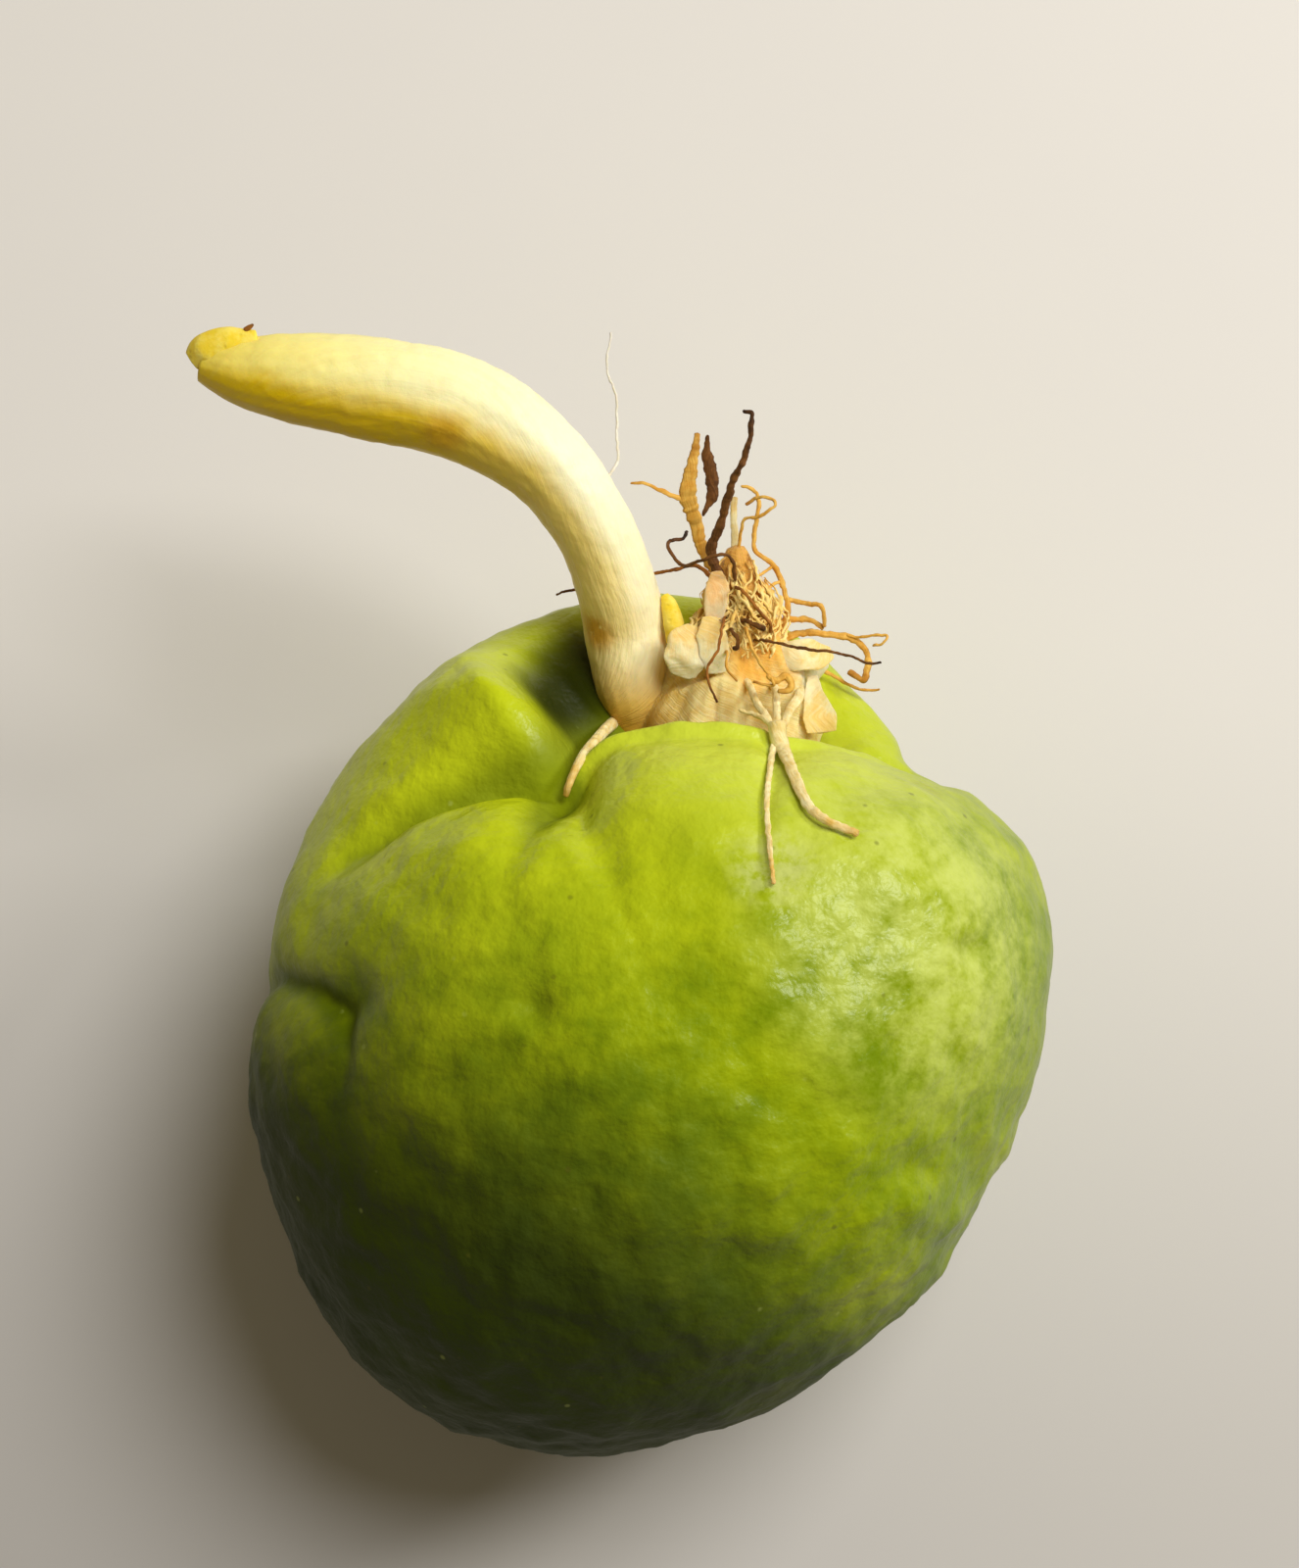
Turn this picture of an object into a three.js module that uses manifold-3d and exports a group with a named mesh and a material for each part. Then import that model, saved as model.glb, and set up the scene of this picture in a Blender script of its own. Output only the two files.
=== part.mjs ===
// A sprouted chayote lying on its side, in millimetres, +Z up.
// The origin is the middle of the small flat spot that it rests on. The stem end
// points to -Y and the mouth at the blossom end to +Y, where the seed has pushed
// out its crown, one thick shoot and a tuft of roots.
import * as THREE from 'three';
import { mergeVertices } from 'three/addons/utils/BufferGeometryUtils.js';
import Module from 'manifold-3d';

// ---- driving dimensions ----
const FRUIT_WIDTH = 84; // along X
const FRUIT_LENGTH = 91; // stem end to mouth, along Y
const FRUIT_HEIGHT = 72.5; // flat spot to top, along Z
const CROWN_WIDTH = 21; // across the pale crown in the mouth
const SHOOT_THICKNESS = 10.8; // at its thickest
const SHOOT_REACH = 58; // base of the shoot to its tip, in a straight line
const ROOT_THICKNESS = 0.36; // of the fine roots
const TAPROOT_THICKNESS = 1.5; // of the three stout roots, where they start
const GAP = 0.3; // between pieces that touch
const FACETS = 22; // along each side of the six fields that cover the fruit

// ---- the fruit ----
// The skin is a distance from the fruit's middle for each direction. The tables
// give it around the upright axis, as [degrees from +X towards +Y, value], for a
// fruit of 84 x 91 x 72.5 mm, and the fruit is then stretched to its own size.
const stretch = new THREE.Vector3(FRUIT_WIDTH / 84, FRUIT_LENGTH / 91, FRUIT_HEIGHT / 72.5);
const MIDDLE_HEIGHT = 36;
const TOP = 36.5;
const BOTTOM = 37.6; // the flat spot cuts this short
const SQUARENESS = 2.15; // 2 is an ellipse

// Outline seen from above.
const OUTLINE = [
  [0, 41.2], [20, 43.2], [33, 41.6], [44, 39.2], [52, 40.6], [60, 42.2], [70, 44.6],
  [82, 46.3], [98, 46.3], [110, 45.6], [121, 44.2], [133, 43], [150, 42.2], [172, 41],
  [190, 42], [210, 43.7], [230, 46.3], [243, 47], [257, 45.4], [273, 43.4], [290, 41],
  [310, 39.4], [335, 38.8], [348, 39.6],
];
// Elevation of the upper lip of the mouth, in degrees.
const LIP = [
  [0, -5], [30, 8], [41, 14], [47, 19], [55, 25], [67, 31], [83, 34], [96, 34], [106, 36],
  [115, 41], [127, 39], [138, 36], [152, 31], [170, 26], [220, 0], [300, -10],
];
// How far the upper lip stands back from the lower lobes, and how gently.
const STAND_BACK = [
  [0, 0], [35, 0], [48, 3], [62, 9], [80, 14.5], [98, 16], [112, 18], [122, 13],
  [138, 7.5], [152, 4], [170, 0], [260, 0],
];
const EASE = [[0, 7], [108, 7], [120, 16], [136, 26], [156, 24], [175, 7], [270, 7]];
// How deep the mouth sinks between the lobes, and the crease under its lip.
const MOUTH = [
  [0, 0], [40, 0], [50, 5], [60, 13], [75, 18], [90, 20], [102, 18], [108, 11], [113, 4],
  [119, 0], [250, 0],
];
const CREASE = [
  [0, 0], [34, 0], [42, 2.5], [50, 2], [60, 0], [100, 0], [114, 2.5], [122, 4.2],
  [138, 3.6], [150, 2.2], [164, 0], [250, 0],
];
// Grooves on the upper side, as a route over the plan, a width and the depth at
// their start, middle and end.
const GROOVES = [
  { route: [[-9.5, 22.5], [-12.5, 16.5], [-14.5, 11.5], [-15, 7]], width: 2.4, depth: [2.8, 1.3, 0] },
  {
    route: [[12.5, 29.5], [11.5, 20.5], [10, 13], [8.5, 6.5], [7.5, 2]],
    width: 1, depth: [0.7, 0.5, 0],
  },
  {
    route: [[-44, 2.5], [-39, 3.5], [-35, 1.5], [-32, -1.5], [-31, -5], [-31, -9.5], [-32.5, -13.5]],
    width: 1.7, depth: [1.2, 2.3, 0],
  },
  { route: [[-32.5, 5.5], [-30, 0.5], [-27.5, -4.5]], width: 3.4, depth: [0.2, 1.5, 0.1] },
  {
    route: [[-30, -7.5], [-27.5, -11.5], [-23, -17], [-20, -20], [-15.5, -23.5]],
    width: 2.8, depth: [0.1, 0.7, 0.1],
  },
  {
    route: [[-29, -19], [-24, -25.5], [-18.5, -29.5], [-12, -32.5]],
    width: 2.4, depth: [0.1, 0.7, 0.1],
  },
  { route: [[-33.5, -26], [-28, -33], [-23.5, -37], [-17, -40]], width: 2.2, depth: [0.1, 0.7, 0.2] },
  { route: [[20, -13.5], [24.5, -16], [27.5, -16.5], [33, -16.5]], width: 2.6, depth: [0.1, 0.8, 0.2] },
  { route: [[27.5, 28.5], [29.5, 26], [31, 22.5]], width: 1.5, depth: [1.5, 0.8, 0] },
  { route: [[15, 3], [15, -8], [14.5, -18]], width: 2.6, depth: [0, 0.25, 0] },
];
// Dents, and bumps where the depth is negative: x, y, reach along x and y, depth.
const SPOTS = [
  [-11.5, -2, 2.2, 2, 1.1], [-13, -4, 1.5, 1.3, -0.25], [31, 5, 1.8, 1.4, 0.7],
  [23.5, -5, 1.2, 1.2, 0.3], [7.5, -27, 4.6, 2.8, 0.8], [3.5, -34, 1.7, 1.4, 0.3],
  [12, -31.5, 5, 3.2, -0.5], [-7, 17.5, 0.9, 2, 0.35], [-37.5, -8, 6.5, 8.5, -1.3],
  [26, -20, 4.4, 2.3, -0.6], [25.5, -23, 2.2, 1.4, 0.3], [-17, 14, 6, 5, -0.9],
  [2, 20, 8, 8, -1.2], [21, 17, 9, 9, -1.2], [-4, -10, 9, 6, -0.4], [10, 8, 5, 14, -0.4],
  [-22, -2, 5, 5, -0.5], [34, 0, 4, 9, -0.3], [6, -14, 5, 4, 0.3], [-2, -22, 5, 4, -0.4],
  [-14, -14, 5, 4, 0.3], [18, -4, 6, 5, -0.3],
];
// Long soft furrows from the stem end towards the mouth: the turn about Y from +X
// in degrees, the depth and the width.
const FURROWS = [[-12, 0.9, 4.5], [-48, 1.1, 5], [-92, 1, 5.5], [-134, 1.2, 5], [-168, 0.9, 4.5]];
const STEM_SCAR = { x: 0.08, z: -0.12, depth: 2.2, width: 4.2 };

const { smoothstep, clamp, radToDeg, degToRad, euclideanModulo } = THREE.MathUtils;
const bell = (x) => Math.exp(-x * x);

// A smooth closed curve through [degrees, value] pairs, read at any angle.
function around(table, degrees) {
  const knot = (i) => {
    const turns = Math.floor(i / table.length);
    const [angle, value] = table[i - turns * table.length];
    return [angle + 360 * turns, value];
  };
  const angle = table[0][0] + euclideanModulo(degrees - table[0][0], 360);
  let i = 0;
  while (knot(i + 1)[0] <= angle) i += 1;
  const [[a0, v0], [a1, v1], [a2, v2], [a3, v3]] = [knot(i - 1), knot(i), knot(i + 1), knot(i + 2)];
  const span = a2 - a1;
  const t = (angle - a1) / span;
  const leave = ((v2 - v0) / (a2 - a0)) * span;
  const arrive = ((v3 - v1) / (a3 - a1)) * span;
  const bend = 2 * (v1 - v2) + leave + arrive;
  const rise = 3 * (v2 - v1) - 2 * leave - arrive;
  return ((bend * t + rise) * t + leave) * t + v1;
}

// How deep one groove is under the plan point x, y.
function grooveDepth({ route, width, depth: [start, middle, end] }, x, y) {
  const lengths = route.slice(1).map(([bx, by], i) => Math.hypot(bx - route[i][0], by - route[i][1]));
  const whole = lengths.reduce((sum, length) => sum + length, 0);
  let nearest = Infinity;
  let share = 0;
  let passed = 0;
  lengths.forEach((length, i) => {
    const [ax, ay] = route[i];
    const dx = (route[i + 1][0] - ax) / length;
    const dy = (route[i + 1][1] - ay) / length;
    const along = clamp((x - ax) * dx + (y - ay) * dy, 0, length);
    const off = Math.hypot(x - ax - along * dx, y - ay - along * dy);
    if (off < nearest) {
      nearest = off;
      share = (passed + along) / whole;
    }
    passed += length;
  });
  const first = start + (middle - start) * smoothstep(share, 0, 0.5);
  const deep = share < 0.5 ? first : middle + (end - middle) * smoothstep(share, 0.5, 1);
  return deep * Math.exp(-((nearest / width) ** 1.6));
}

// Distance from the fruit's middle to its skin, in the unit direction x, y, z.
function skinRadius(x, y, z) {
  const azimuth = radToDeg(Math.atan2(y, x));
  const elevation = radToDeg(Math.asin(clamp(z, -1, 1)));
  const overLip = elevation - around(LIP, azimuth);
  const ease = around(EASE, azimuth);
  const back = around(STAND_BACK, azimuth) * smoothstep((overLip + ease) / (ease + 5), 0, 1);
  const wide = around(OUTLINE, azimuth) - back;
  const high = z > 0 ? TOP : BOTTOM;
  const level = Math.sqrt(Math.max(1 - z * z, 0));
  let r = ((level / wide) ** SQUARENESS + (Math.abs(z) / high) ** SQUARENESS) ** (-1 / SQUARENESS);
  r -= around(MOUTH, azimuth) * smoothstep(elevation, 2, 22) * (1 - smoothstep(overLip, -7, 3));
  r -= around(CREASE, azimuth) * bell((overLip + 3) / 3.6);

  const planX = r * x;
  const planY = r * y;
  let dent = 0;
  for (const groove of GROOVES) dent += grooveDepth(groove, planX, planY);
  for (const [cx, cy, reachX, reachY, depth] of SPOTS) {
    dent += depth * bell(Math.hypot((planX - cx) / reachX, (planY - cy) / reachY));
  }
  r -= dent * smoothstep(z, -0.15, 0.25);

  const turn = radToDeg(Math.atan2(z, x));
  const aside = Math.hypot(x, z);
  for (const [at, depth, width] of FURROWS) {
    const off = degToRad(euclideanModulo(turn - at + 180, 360) - 180) * aside * r;
    r -= depth * bell(off / width) * smoothstep(aside, 0.15, 0.6);
  }
  const fromScar = Math.hypot(x - STEM_SCAR.x, z - STEM_SCAR.z) * r;
  r -= STEM_SCAR.depth * bell(fromScar / STEM_SCAR.width) * smoothstep(-y, 0, 0.5);
  return z < 0 ? Math.min(r, MIDDLE_HEIGHT / -z) : r;
}

// A box whose sides are pushed out to the skin, and by a little more if it is to
// clear the skin by that much.
function fruitSolid(clearance = 0) {
  const geometry = new THREE.BoxGeometry(2, 2, 2, FACETS, FACETS, FACETS);
  const corner = new THREE.Vector3();
  const positions = geometry.getAttribute('position');
  for (let i = 0; i < positions.count; i += 1) {
    corner.fromBufferAttribute(positions, i);
    corner.set(...corner.toArray().map((side) => Math.tan((side * Math.PI) / 4))).normalize();
    corner.multiplyScalar(skinRadius(corner.x, corner.y, corner.z) + clearance);
    corner.z += MIDDLE_HEIGHT;
    corner.multiply(stretch);
    positions.setXYZ(i, ...corner);
  }
  return solidOf(geometry);
}

// Height of the skin over the plan point x, y of the unstretched fruit.
function skinHeight(x, y) {
  const outside = (z) => {
    const far = Math.hypot(x, y, z);
    return far > skinRadius(x / far, y / far, z / far);
  };
  let high = TOP + 5;
  while (outside(high - 0.1)) high -= 0.1;
  return high + MIDDLE_HEIGHT;
}

// ---- solids ----
const wasm = await Module();
wasm.setup();

function solidOf(geometry) {
  geometry.deleteAttribute('normal');
  geometry.deleteAttribute('uv');
  const merged = mergeVertices(geometry, 1e-4);
  return new wasm.Manifold(new wasm.Mesh({
    numProp: 3,
    vertProperties: merged.getAttribute('position').array,
    triVerts: Uint32Array.from(merged.getIndex().array),
  }));
}

function geometryOf(solid) {
  const { vertProperties, triVerts } = solid.getMesh();
  const geometry = new THREE.BufferGeometry();
  geometry.setAttribute('position', new THREE.BufferAttribute(Float32Array.from(vertProperties), 3));
  geometry.setIndex(new THREE.BufferAttribute(Uint32Array.from(triVerts), 1));
  geometry.computeVertexNormals();
  return geometry;
}

const joined = (solids) => solids.reduce((whole, solid) => whole.add(solid));

// What is left of a solid outside its neighbours. A root starts inside what it
// grows from, so this also trims its start.
function outside(solid, neighbours) {
  const pieces = neighbours.reduce((rest, neighbour) => rest.subtract(neighbour), solid).decompose();
  return pieces.reduce((largest, piece) => (piece.volume() > largest.volume() ? piece : largest));
}

// ---- what grows from the seed ----
// Routes are lists of [x, y, z, half width]. They are in the part's own frame for
// a fruit of 84 x 91 x 72.5 mm, and move with the mouth when the fruit changes.
const SEAT = new THREE.Vector3(8, 33, 42); // middle of the crown
const SHOOT_BASE = new THREE.Vector3(-2, 33, 39);
const SHOOT_NECK = 4.3; // half width of the shoot beside the crown
const crownScale = CROWN_WIDTH / 21;
const shootScale = SHOOT_REACH / 58;
const shootGirth = SHOOT_THICKNESS / 10.8;

const byCrown = ([x, y, z]) => new THREE.Vector3(x, y, z)
  .sub(SEAT).multiplyScalar(crownScale).add(SEAT.clone().multiply(stretch));
function byShoot([x, y, z]) {
  const along = new THREE.Vector3(x, y, z).sub(SHOOT_BASE).multiplyScalar(shootScale);
  return along.add(byCrown(SHOOT_BASE.toArray()));
}
// Beside the shoot, and pushed aside as it thickens.
function besideShoot(point) {
  const place = byShoot(point);
  place.x += SHOOT_NECK * (shootGirth - 1);
  return place;
}
// Roots that lie on the skin give their height over it instead of z. Past the
// edge of the lip they keep the height of the edge.
const LIP_EDGE = 26.5;
function onSkin([x, y, height]) {
  const place = new THREE.Vector3(x, y, skinHeight(x, Math.min(y, LIP_EDGE))).multiply(stretch);
  place.z += height;
  return place;
}
// A root that starts on the crown and ends on the skin, in line with those there.
const crownToSkin = (point, i, route) => (i < route.length - 1 ? byCrown(point) : onSkin(point));

// Half widths for a route, as shares of a thickness: tapered changes steadily from
// start to end, and swollen is widest in the middle.
const tapered = (thickness, start, end, route) => route.map((point, i) => [
  ...point, (thickness / 2) * THREE.MathUtils.lerp(start, end, i / (route.length - 1)),
]);
const swollen = (thickness, ends, middle, route) => route.map((point, i) => [
  ...point,
  (thickness / 2) * (ends + (middle - ends) * Math.sin((Math.PI * i) / (route.length - 1))),
]);
const fine = (start, end, route) => tapered(ROOT_THICKNESS, start, end, route);
const leafy = (ends, middle, route) => swollen(ROOT_THICKNESS, ends, middle, route);
const thick = (start, end, route) => tapered(TAPROOT_THICKNESS, start, end, route);

// A sphere drawn out along a route: round, or flattened to a share of its width.
function strand(route, options = {}) {
  const { place = byCrown, girth = 1, sides = 5, rows = 0, flat = 1, grow = 0 } = options;
  const curve = new THREE.CatmullRomCurve3(route.map(place), false, 'catmullrom');
  const steps = rows || (route.length - 1) * 3;
  const geometry = new THREE.SphereGeometry(1, sides, steps);
  const positions = geometry.getAttribute('position');
  const up = new THREE.Vector3(0, 0, 1);
  for (let i = 0; i < positions.count; i += 1) {
    const row = Math.floor(i / (sides + 1));
    const share = row / steps;
    const turn = ((i % (sides + 1)) / sides) * 2 * Math.PI;
    const knot = curve.getUtoTmapping(share) * (route.length - 1);
    const before = Math.min(Math.floor(knot), route.length - 2);
    const halfWidth = THREE.MathUtils.lerp(route[before][3], route[before + 1][3], knot - before);
    const ends = row === 0 || row === steps;
    const wide = ends ? 0 : halfWidth * girth + grow;
    const thin = ends ? 0 : halfWidth * girth * flat + grow;
    const along = curve.getTangentAt(share);
    const across = new THREE.Vector3().crossVectors(along, up).normalize();
    const down = new THREE.Vector3().crossVectors(along, across);
    const point = curve.getPointAt(share);
    point.addScaledVector(along, row === 0 ? -grow : 0);
    point.addScaledVector(along, row === steps ? grow : 0);
    point.addScaledVector(across, -Math.cos(turn) * wide);
    point.addScaledVector(down, Math.sin(turn) * thin);
    positions.setXYZ(i, ...point);
  }
  return solidOf(geometry);
}

// A round collar that narrows to a neck, and a shoulder on its right.
const crownParts = [
  [
    [8, 25.5, 35.5, 4.5], [8, 28, 37.5, 9], [8, 31, 40, 10.5], [8.2, 34, 42, 9.8],
    [8.6, 38, 44.5, 6.5], [9, 42, 46.5, 4.2], [8.8, 46, 48, 2.7], [8.5, 49, 49, 0.8],
  ],
  [[8.5, 35.5, 43, 2.3], [12, 37, 43.5, 3], [16, 37.5, 43.5, 2.4], [18.5, 38, 43.5, 0.5]],
];
const crownSolid = (grow) => joined(
  crownParts.map((route) => strand(route, { girth: crownScale, sides: 16, rows: 14, grow })),
);

// It rises out of the mouth, bends over to the left and ends in a blunt tip.
const shootRoute = [
  [-2, 32.5, 38.5, 1.8], [-2, 35, 41, 3.9], [-3, 40.5, 45, 4.3], [-4, 45, 48.5, 4.2],
  [-6.5, 50.5, 52.5, 4.1], [-11.5, 56.5, 56, 4.6], [-19, 61, 58, 5.4], [-28, 63, 59, 5.4],
  [-36.5, 64, 60, 4.7], [-41, 64.5, 60, 3.8], [-44.5, 65.5, 60, 2.7], [-46.5, 66, 60, 1],
];
const shootSolid = (grow) => strand(
  shootRoute,
  { place: byShoot, girth: shootGirth, sides: 14, rows: 30, grow },
);

// Thin pieces: blades of the seed, buds and scales.
const blades = {
  seed_fold: {
    flat: 0.3,
    route: [[3.5, 35.5, 50, 1.2], [4, 38, 50.5, 2.2], [5, 40.5, 50.5, 1.8], [6, 42, 50, 0.7]],
  },
  seed_flap_right: {
    flat: 0.28,
    route: [[17, 36.5, 45, 0.8], [17.5, 34.5, 46.5, 1.2], [18, 32, 47, 1], [18.5, 30.5, 47.5, 0.4]],
  },
  seed_flap_back: {
    flat: 0.28,
    route: [[13, 38.5, 47, 1], [15, 39, 47.5, 1.4], [16.5, 39, 47, 1.2], [17.5, 39.5, 46.5, 0.5]],
  },
  crown_scale: {
    flat: 0.3,
    route: [[6.5, 43, 50, 0.6], [6.5, 44, 50.5, 1], [6.5, 45, 50.5, 0.9], [6, 46, 50.5, 0.5]],
  },
  side_bud: {
    flat: 0.7,
    place: besideShoot,
    route: [[2, 39, 47, 0.7], [2, 41, 48, 1.1], [1.5, 43, 48.5, 0.8], [1, 44, 48.5, 0.4]],
  },
};
const tipPieces = {
  shoot_bud: {
    flat: 0.8,
    route: [[-47, 66.5, 61, 0.8], [-45.5, 67.5, 61.5, 1.6], [-43, 68, 62, 1.5], [-40.5, 68, 62.5, 0.6]],
  },
  tip_scale: { flat: 0.5, route: [[-41, 69.5, 63, 0.3], [-40.5, 70, 63.5, 0.4], [-40, 70.5, 64, 0.2]] },
};

// Dry sheaths and fine roots. Each list of routes is one piece that branches.
const dryPieces = {
  dry_twig: [fine(3.4, 1, [
    [7.5, 44.5, 49], [6, 48, 50], [7, 51, 52.5], [8, 54, 55.5], [9.5, 57, 57.5], [10, 60.5, 58.5],
    [9, 61, 58.5],
  ])],
  pale_sheath: [
    leafy(1.5, 4.6, [[7, 45, 47], [5, 49, 49], [4, 52, 51.5], [3.5, 54, 53], [4, 57, 54], [4.5, 60, 54]]),
    fine(1.8, 0.6, [[3.5, 53, 52], [1.5, 53.5, 53.5], [-1, 54.5, 54], [-2.5, 54.5, 54]]),
  ],
  dark_sheath: [leafy(0.8, 4.2, [[5.5, 60, 53], [5.5, 58, 52], [6, 56, 51], [6, 54, 50.5], [5, 52, 50]])],
  clear_sheath: [fine(2.4, 1.8, [[9, 46, 46], [8.5, 50, 45.5], [8.5, 53, 45], [8.5, 55.5, 44.5]])],
};
const fineRoots = {
  root_kinked: [fine(1.1, 1.1, [
    [8.5, 45, 50.5], [8, 46.5, 53], [7, 47, 54], [5, 46.5, 53.5], [3, 46.5, 51], [1.5, 49, 49.5],
    [2, 50, 48], [3, 50.5, 47], [3.5, 51.5, 46],
  ])],
  root_behind_shoot: [fine(1.3, 0.7, [
    [6.5, 46, 46], [4.5, 48, 44.5], [2.5, 48, 43.5], [-1.5, 47.5, 42], [-6, 46.5, 41.5],
    [-9, 46, 42], [-10.5, 45.5, 41.5],
  ])],
  root_hoop: [
    fine(1, 2, [
      [9, 56, 47.5], [10.5, 55.5, 47.5], [11, 54, 47.5], [10.5, 49.5, 47], [12.5, 47.5, 47],
      [13.5, 45.5, 46.5], [14, 43, 46], [13, 39.5, 44.5],
    ]),
    fine(0.9, 0.9, [[12.5, 47.5, 47], [11.5, 46.5, 47.5], [10.5, 46, 48]]),
    fine(1, 1, [[13.5, 46, 46.5], [12.5, 45.5, 47], [11.5, 44.5, 47]]),
    fine(1.6, 1.2, [[14, 44, 46], [16, 43.5, 46.5], [17.5, 43, 47], [18, 41, 46]]),
    fine(2, 1.6, [[14, 42, 45.5], [16, 42, 45.5], [18, 41, 45.5]]),
  ],
  root_loop: [fine(1, 1, [
    [8.5, 47.5, 48.5], [9, 50, 50], [9.5, 51.5, 51], [11, 51.5, 52], [12.5, 52.5, 52.5],
    [12, 53.5, 52], [10.5, 53.5, 51.5], [9.5, 53, 51],
  ])],
  root_brown_line: [fine(1, 1, [
    [8, 45, 49], [9, 43.5, 52.5], [10.5, 41.5, 53], [12, 40, 52], [12, 39.5, 48.5],
  ])],
  root_dark_stub: [fine(1, 1.7, [[8.5, 41, 49], [9.5, 40.5, 51.5], [11.5, 39.5, 52]])],
  root_hook: [fine(1.2, 1.2, [
    [8, 40.5, 48.5], [8, 39.5, 51.5], [8.5, 38.5, 52.5], [8.5, 37.5, 52.5], [8, 37.5, 52.5],
  ])],
  root_long_dark: [fine(1, 0.7, [
    [10, 39, 48], [11.5, 38.5, 51.5], [15, 37.5, 52], [19, 37, 52], [22, 36, 52], [23.5, 36, 52],
  ])],
  root_fan: [
    fine(2.2, 1.8, [
      [12.5, 39, 43], [15, 41, 43], [18.5, 41, 43], [21, 40.5, 43], [22.5, 39, 43], [22.5, 37, 43],
      [22, 36, 43], [20.5, 37, 43],
    ]),
    fine(1, 0.8, [
      [20, 41, 43], [21.5, 40.5, 43.5], [23, 40.5, 44], [24.5, 40.5, 44.5], [24, 39.5, 44.5], [23, 39.5, 44],
    ]),
  ],
  root_curl_low: [fine(1.6, 0.7, [
    [14, 38, 43.5], [17, 37.5, 42.5], [19.5, 36.5, 41.5], [22, 35.5, 40.5], [24, 35.5, 40.5],
  ])],
  root_hang_left: [fine(0.9, 0.7, [
    [7.5, 42, 49], [7, 39.5, 53], [6.5, 37, 54], [5.5, 35, 54], [5.5, 33.5, 54], [6.5, 31.5, 53.5],
  ])],
  root_hang_mid: [fine(0.9, 0.7, [[7.5, 38, 49.5], [7.5, 36.5, 53.5], [7.5, 35, 54], [8.5, 33.5, 54]])],
  root_curl: [
    fine(1, 0.8, [
      [9.5, 40.5, 49.5], [9.5, 39, 53], [10.5, 36, 54.5], [12, 33.5, 55], [12, 33, 54.5], [10, 33.5, 54.5],
    ]),
    leafy(1.2, 2.2, [
      [11.5, 34, 55], [12.5, 33.5, 54.5], [13.5, 34, 54.5], [14, 33, 54.5], [13.5, 32.5, 54.5],
      [12.5, 32.5, 54.5],
    ]),
  ],
};
// A pale thread from the far side of the shoot.
const shootThread = fine(0.9, 0.6, [
  [-7, 54, 51], [-4, 57.5, 50], [-4, 61, 50], [-4, 65, 50], [-5, 68, 50], [-4.5, 72, 50],
]);

// The stout roots. The front ones meet over the lip, and two of them go on over
// the skin; the left one lies in the crease beside the mouth.
const frontRoots = {
  inCrown: [
    thick(0.55, 0.5, [
      [9, 36, 47.5], [10, 33.5, 50.5], [10.5, 31.5, 53], [11.5, 29.5, 55.5], [12.5, 27, 1.6],
    ]),
    thick(0.55, 0.5, [
      [12, 35.5, 46.5], [12.5, 33.5, 50.5], [12.5, 31.5, 53], [12.5, 29.5, 55.5], [12.5, 27, 1.6],
    ]),
    thick(0.8, 0.5, [
      [15, 35.5, 44.5], [15, 33, 49.5], [14, 31, 53], [13.5, 29.5, 55.5], [12.5, 27, 1.6],
    ]),
    thick(0.2, 0.5, [[8.5, 30.5, 54.5], [10, 30, 55], [11.5, 29, 56.5], [12.5, 27, 1.6]]),
  ],
  overSkin: [
    thick(0.6, 0.3, [
      [12.5, 29, 1.4], [12.5, 27.5, 1.5], [12, 26, 1.3], [11.5, 23, 1], [11, 18, 0.9], [11.5, 10, 0.7],
    ]),
    thick(0.8, 0.5, [
      [12.5, 29, 1.4], [12.5, 27.5, 1.5], [13, 26, 1.4], [13.5, 23.5, 1.2], [15.5, 18, 1.1], [20, 15.5, 0.8],
    ]),
  ],
};
const leftRoot = thick(1, 0.4, [
  [-2.5, 34.5, 41.5], [-5, 31.5, 46.5], [-6, 28.5, 52], [-7.5, 25.5, 56.5], [-8.5, 22.5, 57.5], [-9, 21, 57],
]);

// ---- materials ----
const material = (color, roughness) => new THREE.MeshStandardMaterial({ color, roughness, metalness: 0 });
const skin = material(0x93a81e, 0.35);
const paleFlesh = material(0xecdcaf, 0.5);
const shootSkin = material(0xf0dc8c, 0.42);
const budYellow = material(0xeec43c, 0.5);
const dryTan = material(0xd0984c, 0.75);
const dryBrown = material(0x6b4423, 0.8);
const rootCream = material(0xe8cf94, 0.6);

// ---- assembly ----
const chayote = new THREE.Group();
chayote.name = 'sprouted_chayote';

function add(name, solid, look) {
  const mesh = new THREE.Mesh(geometryOf(solid), look);
  mesh.name = name;
  chayote.add(mesh);
}

const clearOfShoot = shootSolid(GAP);
const clearOfCrown = crownSolid(GAP);
const clearOfFruit = fruitSolid(GAP);
const grown = [clearOfShoot, clearOfCrown];

// The crown's steep sides come closer than the width it is grown by, so the mouth
// is cut with twice the gap.
add('fruit', outside(fruitSolid(), [clearOfShoot, crownSolid(2 * GAP)]), skin);
add('seed_crown', outside(crownSolid(0), [clearOfShoot]), paleFlesh);
add('shoot', shootSolid(0), shootSkin);

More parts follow.
